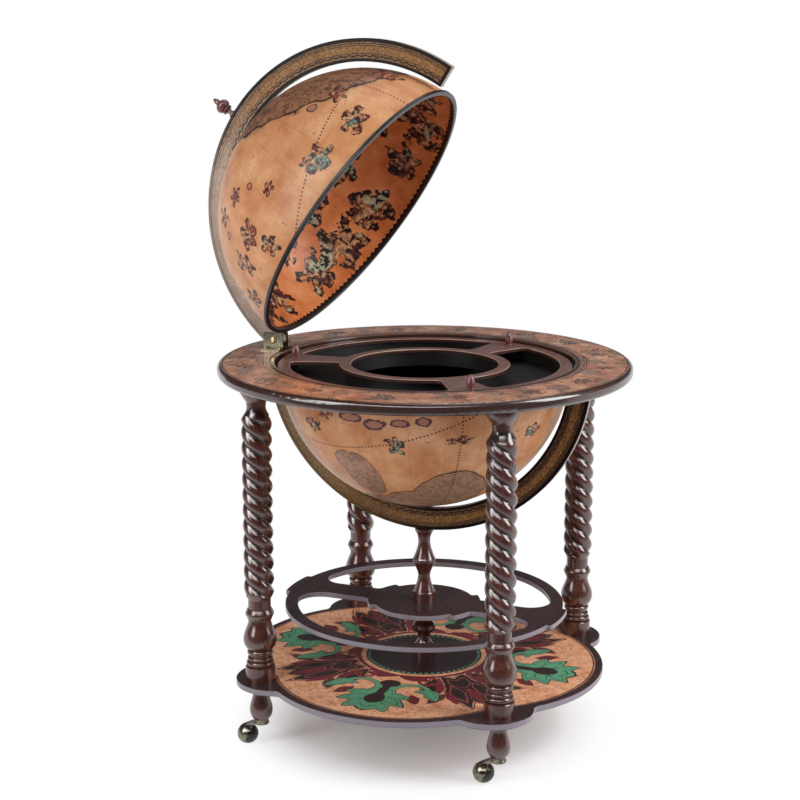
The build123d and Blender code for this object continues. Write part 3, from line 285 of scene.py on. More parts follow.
# %% Camera
VIEW_ANGLE = math.radians(-67.80)
VIEW_TILT = math.radians(12.27)
VIEW_DISTANCE = 3.0488
LOOK_HEIGHT = 0.5718
LOOK_ASIDE = -0.0419
LENS_MM = 80.82
SENSOR_MM = 36
SIGHT_REACH = 60            # metres

level = math.cos(VIEW_TILT)
view_back = (math.sin(VIEW_ANGLE) * level, -math.cos(VIEW_ANGLE) * level, math.sin(VIEW_TILT))
view_back = Vector(view_back)
view_right = Vector((math.cos(VIEW_ANGLE), math.sin(VIEW_ANGLE), 0))
view_up = view_back.cross(view_right)
target = Vector((0, 0, LOOK_HEIGHT)) + LOOK_ASIDE * view_right
camera_data = bpy.data.cameras.new("studio_camera")
camera_data.lens = LENS_MM
camera_data.sensor_width = SENSOR_MM
camera_data.clip_end = SIGHT_REACH
camera = bpy.data.objects.new("studio_camera", camera_data)
bpy.context.scene.collection.objects.link(camera)
axes = Matrix((view_right, view_up, view_back)).transposed().to_4x4()
camera.matrix_world = Matrix.Translation(target + VIEW_DISTANCE * view_back) @ axes
bpy.context.scene.camera = camera
bpy.context.scene.view_settings.view_transform = "Standard"
print("camera at", [round(v, 3) for v in camera.matrix_world.translation])

# %% [markdown]
# ## Studio
# A white sweep lies under the object and rises low behind it. Near the object the floor
# is matt and takes the soft shadow; further out it turns into plain white. To the eye
# the surround is white everywhere. In reflections it is white on the sweep's side, and
# dim overhead and on the camera's side, as a real studio is, so that dark lacquer stays
# dark. Two soft boxes stand left and right of the camera and give the lacquer its long
# highlights, and a weak one hangs overhead at the back. A long strip above the camera is
# seen in reflections alone, as a soft streak on the table's rim and the twists.

# %% Floor and surround
FLOOR_REACH = 30.0
FLOOR_DROP = 0.0005         # metres under the wheels
FLOOR_WHITE = "#eff0f6"
FLOOR_LIFT = 0.16           # added to the lit floor, so that it is white
SHADOW_REACH = (0.21, 0.35)  # metres from the axis where matt floor turns plain white
SURROUND_LIGHT = 0.4
STUDIO_FRONT = (-0.93, -0.37, 0.0)   # towards the camera, along the floor
FLOOR_TURN = (0.2, 1.0)     # metres that way over which the mirrored floor goes dim
SURROUND_TURN = (-0.3, 0.4)  # the same for the surround, as a cosine
DIM = 0.12                  # of white, on the camera's side
CEILING = 0.07              # of white, over the sweep
SWEEP_TOP = (0.04, 0.17)    # sine of the height angle where the sweep fades out
STRIP_RISE, STRIP_HALF, STRIP_SOFT = 0.66, 0.06, 0.05   # sine of its height angle
STRIP_FRONT = (-1.0, -0.04, 0.0)   # towards its middle, a little left of the camera
STRIP_REACH = (0.35, 0.74)  # cosine of how far round from there the strip fades in
STRIP_LIGHT = 6.5           # of white, in reflections alone


def seen_as_white(tree, front, front_range, overhead=None):
    """White for the eye, and for reflections only where the sweep is; also the ray's kind."""
    ray = add_node(tree, "LightPath", out=None)
    mirrored = where_any(tree, ray["Is Glossy Ray"], ray["Is Transmission Ray"])
    level = add_node(tree, "MapRange", [front, *front_range, 1.0, DIM], **SMOOTH)
    if overhead is not None:
        low = add_node(tree, "MapRange", [overhead, *SWEEP_TOP, 1.0, CEILING], **SMOOTH)
        level = where_all(tree, level, low)
    mirrored = where_all(tree, mirrored, level)
    return where_any(tree, ray["Is Camera Ray"], mirrored), ray


floor_mesh = bpy.data.meshes.new("studio_floor")
corners = [(-FLOOR_REACH, -FLOOR_REACH, 0), (FLOOR_REACH, -FLOOR_REACH, 0)]
corners += [(FLOOR_REACH, FLOOR_REACH, 0), (-FLOOR_REACH, FLOOR_REACH, 0)]
floor_mesh.from_pydata(corners, [], [(0, 1, 2, 3)])
floor = bpy.data.objects.new("studio_floor", floor_mesh)
floor.location.z = -FLOOR_DROP
bpy.context.scene.collection.objects.link(floor)

floor_paper = bpy.data.materials.new("studio_paper")
floor_paper.use_nodes = True
tree = floor_paper.node_tree
where = add_node(tree, "TexCoord", out=3)
distance = add_node(tree, "VectorMath LENGTH", [where], 1)
far = add_node(tree, "MapRange", [distance, *SHADOW_REACH], **SMOOTH)
front = add_node(tree, "VectorMath DOT_PRODUCT", [where, STUDIO_FRONT], 1)
seen, ray = seen_as_white(tree, front, FLOOR_TURN)
lift = add_node(tree, "Math MULTIPLY", [seen, FLOOR_LIFT])
matt = add_node(tree, "BsdfDiffuse", {"Color": srgb(FLOOR_WHITE)})
glow = add_node(tree, "Emission", {"Strength": lift})
near = add_node(tree, "AddShader", [matt, glow])
white = add_node(tree, "Emission", {"Strength": seen})
straight = add_node(tree, "Math SUBTRACT", [1.0, ray["Is Diffuse Ray"]])
sweep = add_node(tree, "MixShader", [where_all(tree, far, straight), near, white])
tree.links.new(sweep, tree.nodes["Material Output"].inputs["Surface"])
floor_mesh.materials.append(floor_paper)

world = bpy.data.worlds.new("studio_surround")
world.use_nodes = True
bpy.context.scene.world = world
tree = world.node_tree
toward = add_node(tree, "TexCoord", out=0)
front = add_node(tree, "VectorMath DOT_PRODUCT", [toward, STUDIO_FRONT], 1)
overhead = add_node(tree, "VectorMath DOT_PRODUCT", [toward, (0, 0, 1)], 1)
seen, ray = seen_as_white(tree, front, SURROUND_TURN, overhead)
soft = add_node(tree, "Math MULTIPLY", [ray["Is Diffuse Ray"], SURROUND_LIGHT])
strip = line_at(tree, overhead, STRIP_RISE, STRIP_HALF, STRIP_SOFT)
reach = add_node(tree, "VectorMath DOT_PRODUCT", [toward, STRIP_FRONT], 1)
reach = add_node(tree, "MapRange", [reach, *STRIP_REACH, 0.0, STRIP_LIGHT], **SMOOTH)
strip = where_all(tree, strip, reach, ray["Is Glossy Ray"])
strength = where_any(tree, seen, soft, strip)
tree.links.new(strength, tree.nodes["Background"].inputs["Strength"])
tree.nodes["Background"].inputs["Color"].default_value = (1, 1, 1, 1)
print("floor and surround ready")

# %% Soft boxes
# name: compass angle from the camera, height angle, distance, width, height, watts
SOFT_BOXES = {
    "soft_box_right": (73, 28, 2.3, 1.0, 1.8, 45),
    "soft_box_left": (-54, 22, 2.3, 0.8, 1.7, 24),
    "soft_box_top": (150, 68, 2.4, 1.8, 1.6, 10),
}
AIM = Vector((0, 0, 0.65))
camera_compass = math.atan2(view_back.y, view_back.x)
for name, (turn, rise, reach, width, height, watts) in SOFT_BOXES.items():
    lamp = bpy.data.lights.new(name, "AREA")
    lamp.shape = "RECTANGLE"
    lamp.size, lamp.size_y, lamp.energy = width, height, watts
    compass, rise = camera_compass + math.radians(turn), math.radians(rise)
    level = math.cos(rise)
    out = Vector((math.cos(compass) * level, math.sin(compass) * level, math.sin(rise)))
    box = bpy.data.objects.new(name, lamp)
    box.location = AIM + reach * out
    box.rotation_euler = out.to_track_quat("Z", "Y").to_euler()
    bpy.context.scene.collection.objects.link(box)
    print(name, [round(v, 2) for v in box.location])

# %% [markdown]
# ## Turned wood
# The legs, feet and centre post are beech, turned and twisted on a lathe, stained dark
# mahogany and sprayed with gloss lacquer. The eye sees a red-brown with fine grain
# running up the piece and small hard highlights on every bead; the twists' grooves get
# painted shade, nearly black. Grain is noise pressed together across the piece and
# drawn out along it.
# A smooth clear coat lies over a rough base, so that the wood keeps its depth of
# colour and only the lamps show as whitish streaks.

# %% Turned beech, mahogany stain, gloss lacquer
GRAIN_WIDTH = 3.0      # mm between dark streaks, a few pores drawn as one
GRAIN_LENGTH = 70.0
PATCH_SIZE = 45.0      # mm between darker and lighter places in the wood
PATCH_SHARE = 0.35     # of that in the grain; half of it is taken off again
STAIN = [(0.25, "#35130c"), (0.5, "#4b2017"), (0.78, "#683427")]
GROOVE_SHADE_REACH = (23.4, 20.2)    # mm from a leg's axis where the grooves' painted shade starts, and where it is full
TWIST_FOOT, TWIST_HEAD = (262.0, 272.0), (590.0, 580.0)   # mm above the floor

turned_wood, tree, shader = new_finish(
    "turned_beech_mahogany_lacquer",
    Roughness=0.45,
    IOR=1.5,
    Specular_IOR_Level=0.12,
    Coat_Weight=1.0,
    Coat_IOR=1.85,
    Coat_Roughness=0.2,
)
point = millimetres(tree)
along = {"Vector": point, "Scale": (1 / GRAIN_WIDTH, 1 / GRAIN_WIDTH, 1 / GRAIN_LENGTH)}
fibres = add_node(tree, "Mapping", along)
fibres = add_node(tree, "TexNoise", grains(fibres, 1.0, 5.0))
patchy = add_node(tree, "TexNoise", grains(point, PATCH_SIZE, 2.0))
grain = add_node(tree, "Math MULTIPLY_ADD", [patchy, PATCH_SHARE, fibres])
grain = add_node(tree, "Math SUBTRACT", [grain, 0.17])
colour = add_node(tree, "ValToRGB", [grain], stops=STAIN)

# Painted shade: near a leg's axis, in the twist's grooves, the colour is laid nearly black.
low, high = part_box("leg_front_left")
leg_axis = tuple(abs(low[side] + high[side]) / 2 / MM for side in (0, 1))
off_axis = add_node(tree, "VectorMath ABSOLUTE", [point])
off_axis = add_node(tree, "VectorMath SUBTRACT", [off_axis, (*leg_axis, 0)])
off_axis = add_node(tree, "VectorMath MULTIPLY", [off_axis, (1, 1, 0)])
off_axis = add_node(tree, "VectorMath LENGTH", [off_axis], 1)
groove_shade = add_node(tree, "MapRange", [off_axis, *GROOVE_SHADE_REACH], **SMOOTH)
axes = add_node(tree, "SeparateXYZ", [point], out=None)
above = add_node(tree, "MapRange", [axes[2], *TWIST_FOOT], **SMOOTH)
below = add_node(tree, "MapRange", [axes[2], *TWIST_HEAD], **SMOOTH)
colour = layered(tree, colour, [(where_all(tree, groove_shade, above, below), "#230e0a")])
coat_with(tree, shader, colour, fibres, 0.05)
paint(turned_wood, "leg_rear", "leg_front", "foot_", "spindle_")
print(len(painted), "turned pieces in", turned_wood.name)

# %% [markdown]
# ## Lacquered boards
# The bottle ring and the shelf's edge are cut from board, stained darker and cooler
# than the legs, and sprayed in the same lacquer. Their upright edges carry a painted
# reflection, a light grey-lilac sheen, which draws a pale line round each board. The
# lacquer is thinner here than on the legs, so its highlights are weaker.

# %% Board, dark stain, satin lacquer
BOARD_STAIN = [(0.3, "#2a1718"), (0.55, "#3c2629"), (0.8, "#4f3739")]
# Painted reflection: the light grey-lilac sheen laid on upright board edges.
BOARD_EDGE_SHEEN = "#8a8189"
BOARD_LACQUER = dict(
    Roughness=0.45, IOR=1.5, Specular_IOR_Level=0.3, Coat_Weight=0.4, Coat_Roughness=0.2
)


def board_colour(tree, point, stops):
    """Long grain of a stained board along X."""
    along = {"Vector": point, "Scale": (1 / 110.0, 1 / 4.0, 1 / 4.0)}
    fibres = add_node(tree, "Mapping", along)
    fibres = add_node(tree, "TexNoise", grains(fibres, 1.0, 5.0))
    return add_node(tree, "ValToRGB", [fibres], stops=stops), fibres


dark_board, tree, shader = new_finish("board_dark_stain_satin_lacquer", **BOARD_LACQUER)
colour, fibres = board_colour(tree, millimetres(tree), BOARD_STAIN)
# Painted reflection on the ring's upright edges.
colour = layered(tree, colour, [(upright_face(tree), BOARD_EDGE_SHEEN)])
coat_with(tree, shader, colour, fibres, 0.03)
paint(dark_board, "bottle_ring")

plain_wood, tree, shader = new_finish("beech_block_dark_stain", Roughness=0.55, IOR=1.5)
colour, fibres = board_colour(tree, millimetres(tree), [(0.3, "#2b1713"), (0.7, "#472820")])
coat_with(tree, shader, colour, fibres, 0.05)
paint(plain_wood, "clamp_block", "globe_spacer", "pole_spacer", "hinge_block")
print(dark_board.name, plain_wood.name)

# %% [markdown]
# ## Printed shelf
# The shelf is board with a printed paper top under lacquer: a dark disc in a ring of
# green beads, four green leaf ornaments, dark leaves with wine-red outlines between
# them, and a warm mottled ground out to a shaped border. The ornament repeats eight
# times, so it is drawn once: the point is folded into one eighth of the circle, where
# one number runs out along the nearest axis and the other away from it.

# %% Shelf print: the folded point and the ground
LOBE_RADIUS = 230.0       # border of the printed field, one arc on each side
LOBE_OFFSET = 71.0        # of that arc's middle from the shelf's
SHELF_GROUND = [(0.3, "#c47a52"), (0.45, "#e9a67b"), (0.6, "#f4bc95"), (0.75, "#f9cfae")]
GREEN, GREEN_DARK = "#5fa27c", "#2b1a1c"
WINE, DARK = "#74262d", "#2e1a1e"

shelf_print, tree, shader = new_finish("printed_paper_on_board_lacquered", **BOARD_LACQUER)
point = millimetres(tree)
axes = add_node(tree, "SeparateXYZ", [point], out=None)
side_x = add_node(tree, "Math ABSOLUTE", [axes[0]])
side_y = add_node(tree, "Math ABSOLUTE", [axes[1]])
along = add_node(tree, "Math MAXIMUM", [side_x, side_y])
aside = add_node(tree, "Math MINIMUM", [side_x, side_y])
folded = add_node(tree, "CombineXYZ", [along, aside, 0.0])
from_middle = add_node(tree, "VectorMath LENGTH", [folded], 1)
mottle = add_node(tree, "TexNoise", grains(point, 20.0, 8.0, Roughness=0.68))
ground = add_node(tree, "ValToRGB", [mottle], stops=SHELF_GROUND)
lobe = add_node(tree, "VectorMath DISTANCE", [folded, (LOBE_OFFSET, 0, 0)], 1)
print("shelf ground ready")

# %% Shelf print: where its leaves and pears lie
def flat_ovals(*rows):
    """Ovals on the shelf from rows of place X and Y, half sizes and a turn in degrees."""
    return [((x, y, 0), (a, b, 9), (0, 0, math.radians(turn))) for x, y, a, b, turn in rows]


dark_leaves = flat_ovals(
    (154, 122, 62, 20, 40),
    (148, 72, 44, 17, 16),
    (112, 104, 38, 21, 64),
    (188, 96, 26, 11, -14),
    (166, 158, 24, 10, 60),
)
wine_leaves = flat_ovals(
    (176, 118, 30, 9, 40),
    (140, 84, 28, 8, 20),
    (118, 30, 13, 28, 0),
    (206, 62, 22, 12, 30),
    (150, 146, 30, 7, 48),
)
green_leaves = flat_ovals(
    (240, 0, 36, 34, 0),
    (224, 28, 34, 16, 58),
    (250, 22, 26, 14, 34),
    (204, 30, 27, 13, 84),
    (180, 84, 26, 12, 40),
    (168, 72, 21, 10, 100),
    (196, 14, 32, 12, 10),
)
pears = flat_ovals((222, 0, 22, 17, 0), (190, 0, 34, 8, 0), (152, 0, 15, 18, 0))
print(len(dark_leaves + wine_leaves + green_leaves + pears), "ovals in an eighth")

# %% Shelf print: leaves, scrolls and beads
ARM_MIDDLE, ARM_RADIUS = (178, 46, 0), 31.0      # the hooked green arm beside a leaf
ARM_END = (182.0, 176.0)
SCROLL_MIDDLE, SCROLL_RADIUS = (122, 58, 0), 17.0
ARC_RADIUS = 113.0        # wine-red ring outside the beads
BEAD_CIRCLE, BEAD_COUNT = 96.0, 60
DISC_RADIUS = 101.0
dark_far = roughened(tree, ovals(tree, folded, dark_leaves, pointed=True), point, 16.0, 0.4)
dark_zone = add_node(tree, "MapRange", [dark_far, 1.0, 0.97], **SMOOTH)
dark_edge = line_at(tree, dark_far, 1.11, 0.045, 0.02)
dark_vein = line_at(tree, dark_far, 0.6, 0.05, 0.03)
wine_far = roughened(tree, ovals(tree, folded, wine_leaves, pointed=True), point, 12.0, 0.5)
wine_zone = add_node(tree, "MapRange", [wine_far, 1.0, 0.95], **SMOOTH)
leaf_far = roughened(tree, ovals(tree, folded, green_leaves, pointed=True), point, 9.0, 0.3)
leaf_zone = add_node(tree, "MapRange", [leaf_far, 1.0, 0.96], **SMOOTH)
leaf_edge = add_node(tree, "MapRange", [leaf_far, 1.13, 1.09], **SMOOTH)
veins = line_at(tree, leaf_far, 0.62, 0.03, 0.03)
pear_zone = add_node(tree, "MapRange", [ovals(tree, folded, pears), 1.0, 0.97], **SMOOTH)

arm = add_node(tree, "VectorMath DISTANCE", [folded, ARM_MIDDLE], 1)
arm_part = add_node(tree, "MapRange", [along, *ARM_END], **SMOOTH)
arm_edge = where_all(tree, line_at(tree, arm, ARM_RADIUS, 5.0, 0.8), arm_part)
arm = where_all(tree, line_at(tree, arm, ARM_RADIUS, 3.8, 0.8), arm_part)
scroll = add_node(tree, "VectorMath DISTANCE", [folded, SCROLL_MIDDLE], 1)
scroll = line_at(tree, scroll, SCROLL_RADIUS, 2.8, 0.8)
arc = line_at(tree, from_middle, ARC_RADIUS, 3.2, 0.8)

bead_place = add_node(tree, "Math ARCTAN2", [axes[1], axes[0]])
bead_place = add_node(tree, "Math PINGPONG", [bead_place, math.pi / BEAD_COUNT])
bead_place = add_node(tree, "Math MULTIPLY", [bead_place, BEAD_CIRCLE])
off_ring = add_node(tree, "Math SUBTRACT", [from_middle, BEAD_CIRCLE])
bead = add_node(tree, "CombineXYZ", [bead_place, off_ring, 0.0])
bead = add_node(tree, "VectorMath LENGTH", [bead], 1)
bead = add_node(tree, "MapRange", [bead, 3.3, 2.5], **SMOOTH)
disc = add_node(tree, "MapRange", [from_middle, DISC_RADIUS + 0.5, DISC_RADIUS - 0.5], **SMOOTH)
print("shelf ornament ready")

# %% Shelf print: borders and layers
border = add_node(tree, "MapRange", [lobe, LOBE_RADIUS - 0.6, LOBE_RADIUS + 0.6], **SMOOTH)
rule = line_at(tree, lobe, LOBE_RADIUS - 2.5, 1.2, 0.5)
board, fibres = board_colour(tree, point, BOARD_STAIN)
flecks = add_node(tree, "TexNoise", grains(point, 5.0, 3.0))
flecks = add_node(tree, "MapRange", [flecks, 0.52, 0.66, 0.0, 0.65], **SMOOTH)
layers = [
    (flecks, "#9c4a34"),
    (dark_edge, WINE),
    (dark_zone, DARK),
    (dark_vein, "#8a4a38"),
    (wine_zone, WINE),
    (scroll, "#84303a"),
    (arc, WINE),
    (arm_edge, GREEN_DARK),
    (leaf_edge, GREEN_DARK),
    (arm, GREEN),
    (leaf_zone, GREEN),
    (where_all(tree, leaf_zone, veins), "#2f5a48"),
    (pear_zone, "#33201f"),
    (disc, "#2f1d20"),
    (bead, GREEN),
    (rule, "#5a3026"),
    (border, board),
    # Painted reflection on the shelf's upright edge.
    (upright_face(tree), BOARD_EDGE_SHEEN),
]
colour = layered(tree, ground, layers)
coat_with(tree, shader, colour, mottle, 0.04)
paint(shelf_print, "shelf")
print("shelf print:", len(tree.nodes), "nodes")

# %% [markdown]
# ## Printed table ring
# The table's ring carries old-map paper under lacquer, aged to a warm brown. Dark
# coasts, greyed seas and a ring of small engraved sprays break it up, and thin dark
# lines run just inside the rim and round the well. The rounded rim is stained board.

# %% Table print: ground, coasts and sprays
TABLE_LINE = 341.0        # radius of the thin line near the rim
TABLE_PRINT_EDGE = 343.5
TABLE_GROUND = [(0.32, "#8f5844"), (0.5, "#c98b6b"), (0.68, "#e9ba97")]
TABLE_EDGE = [(0.3, "#2a1510"), (0.55, "#391d16"), (0.8, "#4a2a20")]
SPRAY_CIRCLE = 304.0      # radius of the circle that the sprays stand on
SPRAY_COUNT, SPRAY_START = 16, 9    # the start in degrees
COAST_MAP = 3.0           # picks one of the noise's many maps
WELL_LINES = (268.0, 272.5)
WELL_EDGE = 265.0         # where the print stops at the hole
WELL_SHADE = 258.0        # dark line inside that
table_print, tree, shader = new_finish(
    "aged_map_paper_on_board_lacquered",
    Roughness=0.42,
    IOR=1.5,
    Specular_IOR_Level=0.25,
    Coat_Weight=0.9,
    Coat_IOR=1.8,
    Coat_Roughness=0.13,
)
point = millimetres(tree)
axes = add_node(tree, "SeparateXYZ", [point], out=None)
flat = add_node(tree, "CombineXYZ", [axes[0], axes[1], 0.0])
radius = add_node(tree, "VectorMath LENGTH", [flat], 1)
cloud = add_node(tree, "TexNoise", grains(flat, 42.0, 8.0, Roughness=0.66))
ground = add_node(tree, "ValToRGB", [cloud], stops=TABLE_GROUND)
coast = grains(flat, 38.0, 5.0, W=COAST_MAP)
coast = add_node(tree, "TexNoise", coast, noise_dimensions="4D")
sea = add_node(tree, "MapRange", [coast, 0.555, 0.57, 0.0, 0.75], **SMOOTH)
shore = line_at(tree, coast, 0.556, 0.006, 0.004)
warm = add_node(tree, "MapRange", [coast, 0.41, 0.39, 0.0, 0.7], **SMOOTH)
fine = add_node(tree, "TexNoise", grains(flat, 6.0, 4.0))
marks = add_node(tree, "MapRange", [fine, 0.58, 0.66, 0.0, 0.8], **SMOOTH)
table_rows = []
for step in range(SPRAY_COUNT):
    turn = math.radians(360 / SPRAY_COUNT * step + SPRAY_START)
    at = (SPRAY_CIRCLE * math.cos(turn), SPRAY_CIRCLE * math.sin(turn), 0)
    table_rows.append((at, (30, 13 + 4 * (step % 3), 17), (0, math.radians(90), turn)))
spray, shade = sprays(tree, flat, table_rows, petals=3.0, grain_mm=9.0)
tones = [(0.42, "#7a4534"), (0.52, "#a67a5c"), (0.6, "#5d5a4c")]
spray_colour = inked(tree, point, shade, tones, "#3a1f1b")
print("table ground ready")

# %% Table print: lines, rim and layers
lines = line_at(tree, radius, TABLE_LINE, 1.0, 0.4)
for place in WELL_LINES:
    lines = where_any(tree, lines, line_at(tree, radius, place, 0.8, 0.4))
inputs = [radius, TABLE_PRINT_EDGE - 0.4, TABLE_PRINT_EDGE + 0.4]
rim = add_node(tree, "MapRange", inputs, **SMOOTH)
well = add_node(tree, "MapRange", [radius, WELL_EDGE + 0.2, WELL_EDGE - 0.4], **SMOOTH)
under = add_node(tree, "MapRange", [axes[2], TABLE_TOP - 1.4, TABLE_TOP - 2.2], **SMOOTH)
board, fibres = board_colour(tree, point, TABLE_EDGE)
layers = [
    (sea, "#8b7569"),
    (warm, "#b8694d"),
    (marks, "#6d443a"),
    (shore, "#3f221d"),
    (spray, spray_colour),
    (well, "#7c5547"),
    (line_at(tree, radius, WELL_SHADE, 2.4, 0.4), "#3a211c"),
    (lines, "#38201b"),
    (where_any(tree, rim, under), board),
]
colour = layered(tree, ground, layers)
coat_with(tree, shader, colour, fine, 0.03)
paint(table_print, "table_top")
print("table print:", len(tree.nodes), "nodes")

# %% [markdown]
# ## Globe papers
# Both halves of the globe are covered with an antique-style map in warm orange-tan,
# varnished to a satin. Land is a greyed brown with a darker coast, seas carry dotted
# courses, faint meridians and small sprays in wine-red, tan and blue-green. One function
# draws the paper for either half: a cap or a chain of ovals on the sphere makes land.
# The lid's inside is a deeper orange with bigger dark ornaments, and a saw-tooth border
# runs round its rim. Which paper a point gets is told from its radius.

# %% Globe paper helpers
PAPER_VARNISH = dict(
    Roughness=0.45, IOR=1.5, Specular_IOR_Level=0.18, Coat_Weight=0.22, Coat_Roughness=0.22
)
SHELL_MIDDLE = (GLOBE_RADIUS - 1.8, GLOBE_RADIUS - 1.2)   # where the inner paper ends
SPOT_DEPTH = 30.0          # mm to which an oval reaches in and out of the globe's skin
GRID_ANGLE = math.radians(7.5)    # half of the step between two meridians
DOT_ANGLE = 3.2 / GLOBE_RADIUS    # half of the step between two dots of a course
GLOBE_GROUND = [(0.3, "#b37045"), (0.5, "#cb8f62"), (0.7, "#dca97f")]
SPRAY_TONES = [(0.44, "#8a4433"), (0.54, "#b07a55"), (0.63, "#62776c")]


def spot(longitude, latitude, half, half_up=None, tilt=0.0):
    """Oval on the globe's skin: half sizes sideways and upwards, tilted in its plane."""
    up = half if half_up is None else half_up
    east, north = math.radians(longitude), math.radians(latitude)
    flat = GLOBE_RADIUS * math.cos(north)
    middle = (flat * math.cos(east), flat * math.sin(east), GLOBE_RADIUS * math.sin(north))
    turn = Matrix.Rotation(east, 3, "Z") @ Matrix.Rotation(-north, 3, "Y")
    turn = turn @ Matrix.Rotation(tilt, 3, "X")
    return middle, (SPOT_DEPTH, half, up), tuple(turn.to_euler())


def dotted_course(tree, point, normal, offset):
    """Dots along a circle on the globe, given by its plane's normal and how far out it is."""
    axis = Vector(normal).normalized()
    first = axis.orthogonal().normalized()
    second = axis.cross(first)
    away = add_node(tree, "VectorMath DOT_PRODUCT", [point, tuple(axis)], 1)
    across = add_node(tree, "VectorMath DOT_PRODUCT", [point, tuple(first)], 1)
    ahead = add_node(tree, "VectorMath DOT_PRODUCT", [point, tuple(second)], 1)
    turn = add_node(tree, "Math ARCTAN2", [ahead, across])
    step = add_node(tree, "Math PINGPONG", [turn, DOT_ANGLE])
    dots = add_node(tree, "MapRange", [step, 0.55 * DOT_ANGLE, 0.40 * DOT_ANGLE], **SMOOTH)
    return where_all(tree, line_at(tree, away, offset, 0.9, 0.6), dots)


def globe_paper(tree, point, land_rows, isle_rows, spray_rows, courses, land_tones):
    """Colour of the globe's outside, and the noise that its paper is made from."""
    paper = add_node(tree, "TexNoise", grains(point, 60.0, 8.0, Roughness=0.64))
    ground = add_node(tree, "ValToRGB", [paper], stops=GLOBE_GROUND)
    land_far = roughened(tree, ovals(tree, point, land_rows), point, 34.0, 0.22, detail=7.0)
    land = add_node(tree, "MapRange", [land_far, 1.0, 0.992], **SMOOTH)
    coast = line_at(tree, land_far, 1.0, 0.011, 0.006)
    wash = line_at(tree, land_far, 0.985, 0.02, 0.06)
    ridges = grains(point, 16.0, 6.0, Roughness=0.65, Distortion=1.6)
    ridges = add_node(tree, "TexNoise", ridges)
    pale = add_node(tree, "MapRange", [ridges, 0.5, 0.4, 0.0, 0.5], **SMOOTH)
    ridges = add_node(tree, "MapRange", [ridges, 0.5, 0.57, 0.0, 0.85], **SMOOTH)

    isle_far = roughened(tree, ovals(tree, point, isle_rows), point, 9.0, 1.1)
    isle = add_node(tree, "MapRange", [isle_far, 1.0, 0.96], **SMOOTH)
    isle_coast = line_at(tree, isle_far, 1.0, 0.16, 0.06)
    spray, shade = sprays(tree, point, spray_rows)
    spray_colour = inked(tree, point, shade, SPRAY_TONES, "#3a2422", patch_mm=30.0)

    axes = add_node(tree, "SeparateXYZ", [point], out=None)
    east = add_node(tree, "Math ARCTAN2", [axes[1], axes[0]])
    east = add_node(tree, "Math PINGPONG", [east, GRID_ANGLE])
    flat = add_node(tree, "CombineXYZ", [axes[0], axes[1], 0.0])
    flat = add_node(tree, "VectorMath LENGTH", [flat], 1)
    east = add_node(tree, "Math MULTIPLY", [east, flat])
    north = add_node(tree, "Math ARCTAN2", [axes[2], flat])
    north = add_node(tree, "Math PINGPONG", [north, GRID_ANGLE])
    north = add_node(tree, "Math MULTIPLY", [north, GLOBE_RADIUS])
    grid = add_node(tree, "Math MINIMUM", [east, north])
    grid = add_node(tree, "MapRange", [grid, 0.9, 0.3, 0.0, 0.3], **SMOOTH)

    engraving = add_node(tree, "TexNoise", grains(point, 8.0, 4.0, Distortion=0.6))
    engraving = add_node(tree, "MapRange", [engraving, 0.62, 0.68], **SMOOTH)
    busy = add_node(tree, "MapRange", [paper, 0.46, 0.62, 0.0, 0.75], **SMOOTH)
    pale_tone, land_tone, ridge_tone = land_tones
    layers = [
        (grid, "#8a5236"),
        (where_all(tree, engraving, busy), "#7c4634"),
        (add_node(tree, "Math MULTIPLY", [wash, 0.7]), "#85624e"),
        (land, land_tone),
        (where_all(tree, pale, land), pale_tone),
        (where_all(tree, ridges, land), ridge_tone),
        (coast, "#3c2620"),
        (isle, "#a56f56"),
        (isle_coast, "#5c3a40"),
        (spray, spray_colour),
    ]
    for normal, offset in courses:
        layers.append((dotted_course(tree, point, normal, offset), "#3f231d"))
    return layered(tree, ground, layers), paper


def ring_of_spots(count, start, latitude, half, half_up, sway):
    """Ovals set round the globe at one latitude, each a little off its place and size."""
    rows = []
    for step in range(count):
        swing = math.sin(step * 2.4 + start)
        size = 1 + 0.18 * math.sin(step * 1.7 + start)
        at = start + 360.0 * step / count + sway * swing
        rows.append(spot(at, latitude + 0.3 * sway * swing, half * size, half_up * size, swing))
    return rows


print("globe paper helpers ready")

# %% [markdown]
# ## The lid's two papers
# The lid is one thin shell, so one material does both of its sides. The point is
# turned back to the closed lid's place first, where the pole is straight up.

# %% Where the lid's land, isles and sprays lie
DEEP = [(0.3, "#b05a2c"), (0.5, "#d47d46"), (0.7, "#e5a06b")]
LID_LAND = [((0, -131.6, 207.9), (168, 168, 168), (0, 0, 0))]
LID_ISLES = [spot(-138, 30, 8), spot(150, 30, 6), spot(178, 31, 5, 7), spot(-160, 12, 6)]
LID_SPRAYS = [
    spot(-134, 12, 32, 24, 0.4),
    spot(-155, 12, 32, 25, -0.3),
    spot(-126, 26, 22, 16, 0.9),
    spot(168, 36, 18, 18, 1.2),
    spot(152, 38, 17, 26, 0.5),
    spot(150, 16, 20, 32, 0.3),
    spot(167, 9, 20, 22, 0.2),
    spot(-176, 22, 14, 12, 0.2),
    spot(136, 8, 24, 21, 0.0),
] + ring_of_spots(11, -105, 18, 28, 23, 7)[:9]
LID_FIGURES = (
    ring_of_spots(17, -8, 15, 41, 34, 4)
    + ring_of_spots(13, 6, 37, 38, 30, 6)
    + ring_of_spots(7, 20, 59, 38, 34, 10)
)
TOOTH_ANGLE = math.radians(1.3)    # half of one tooth of the border
BORDER_TOP = 15.0                  # mm above the globe's horizon
TOOTH_HEIGHT = 4.0
print(len(LID_SPRAYS), "sprays outside,", len(LID_FIGURES), "inside")

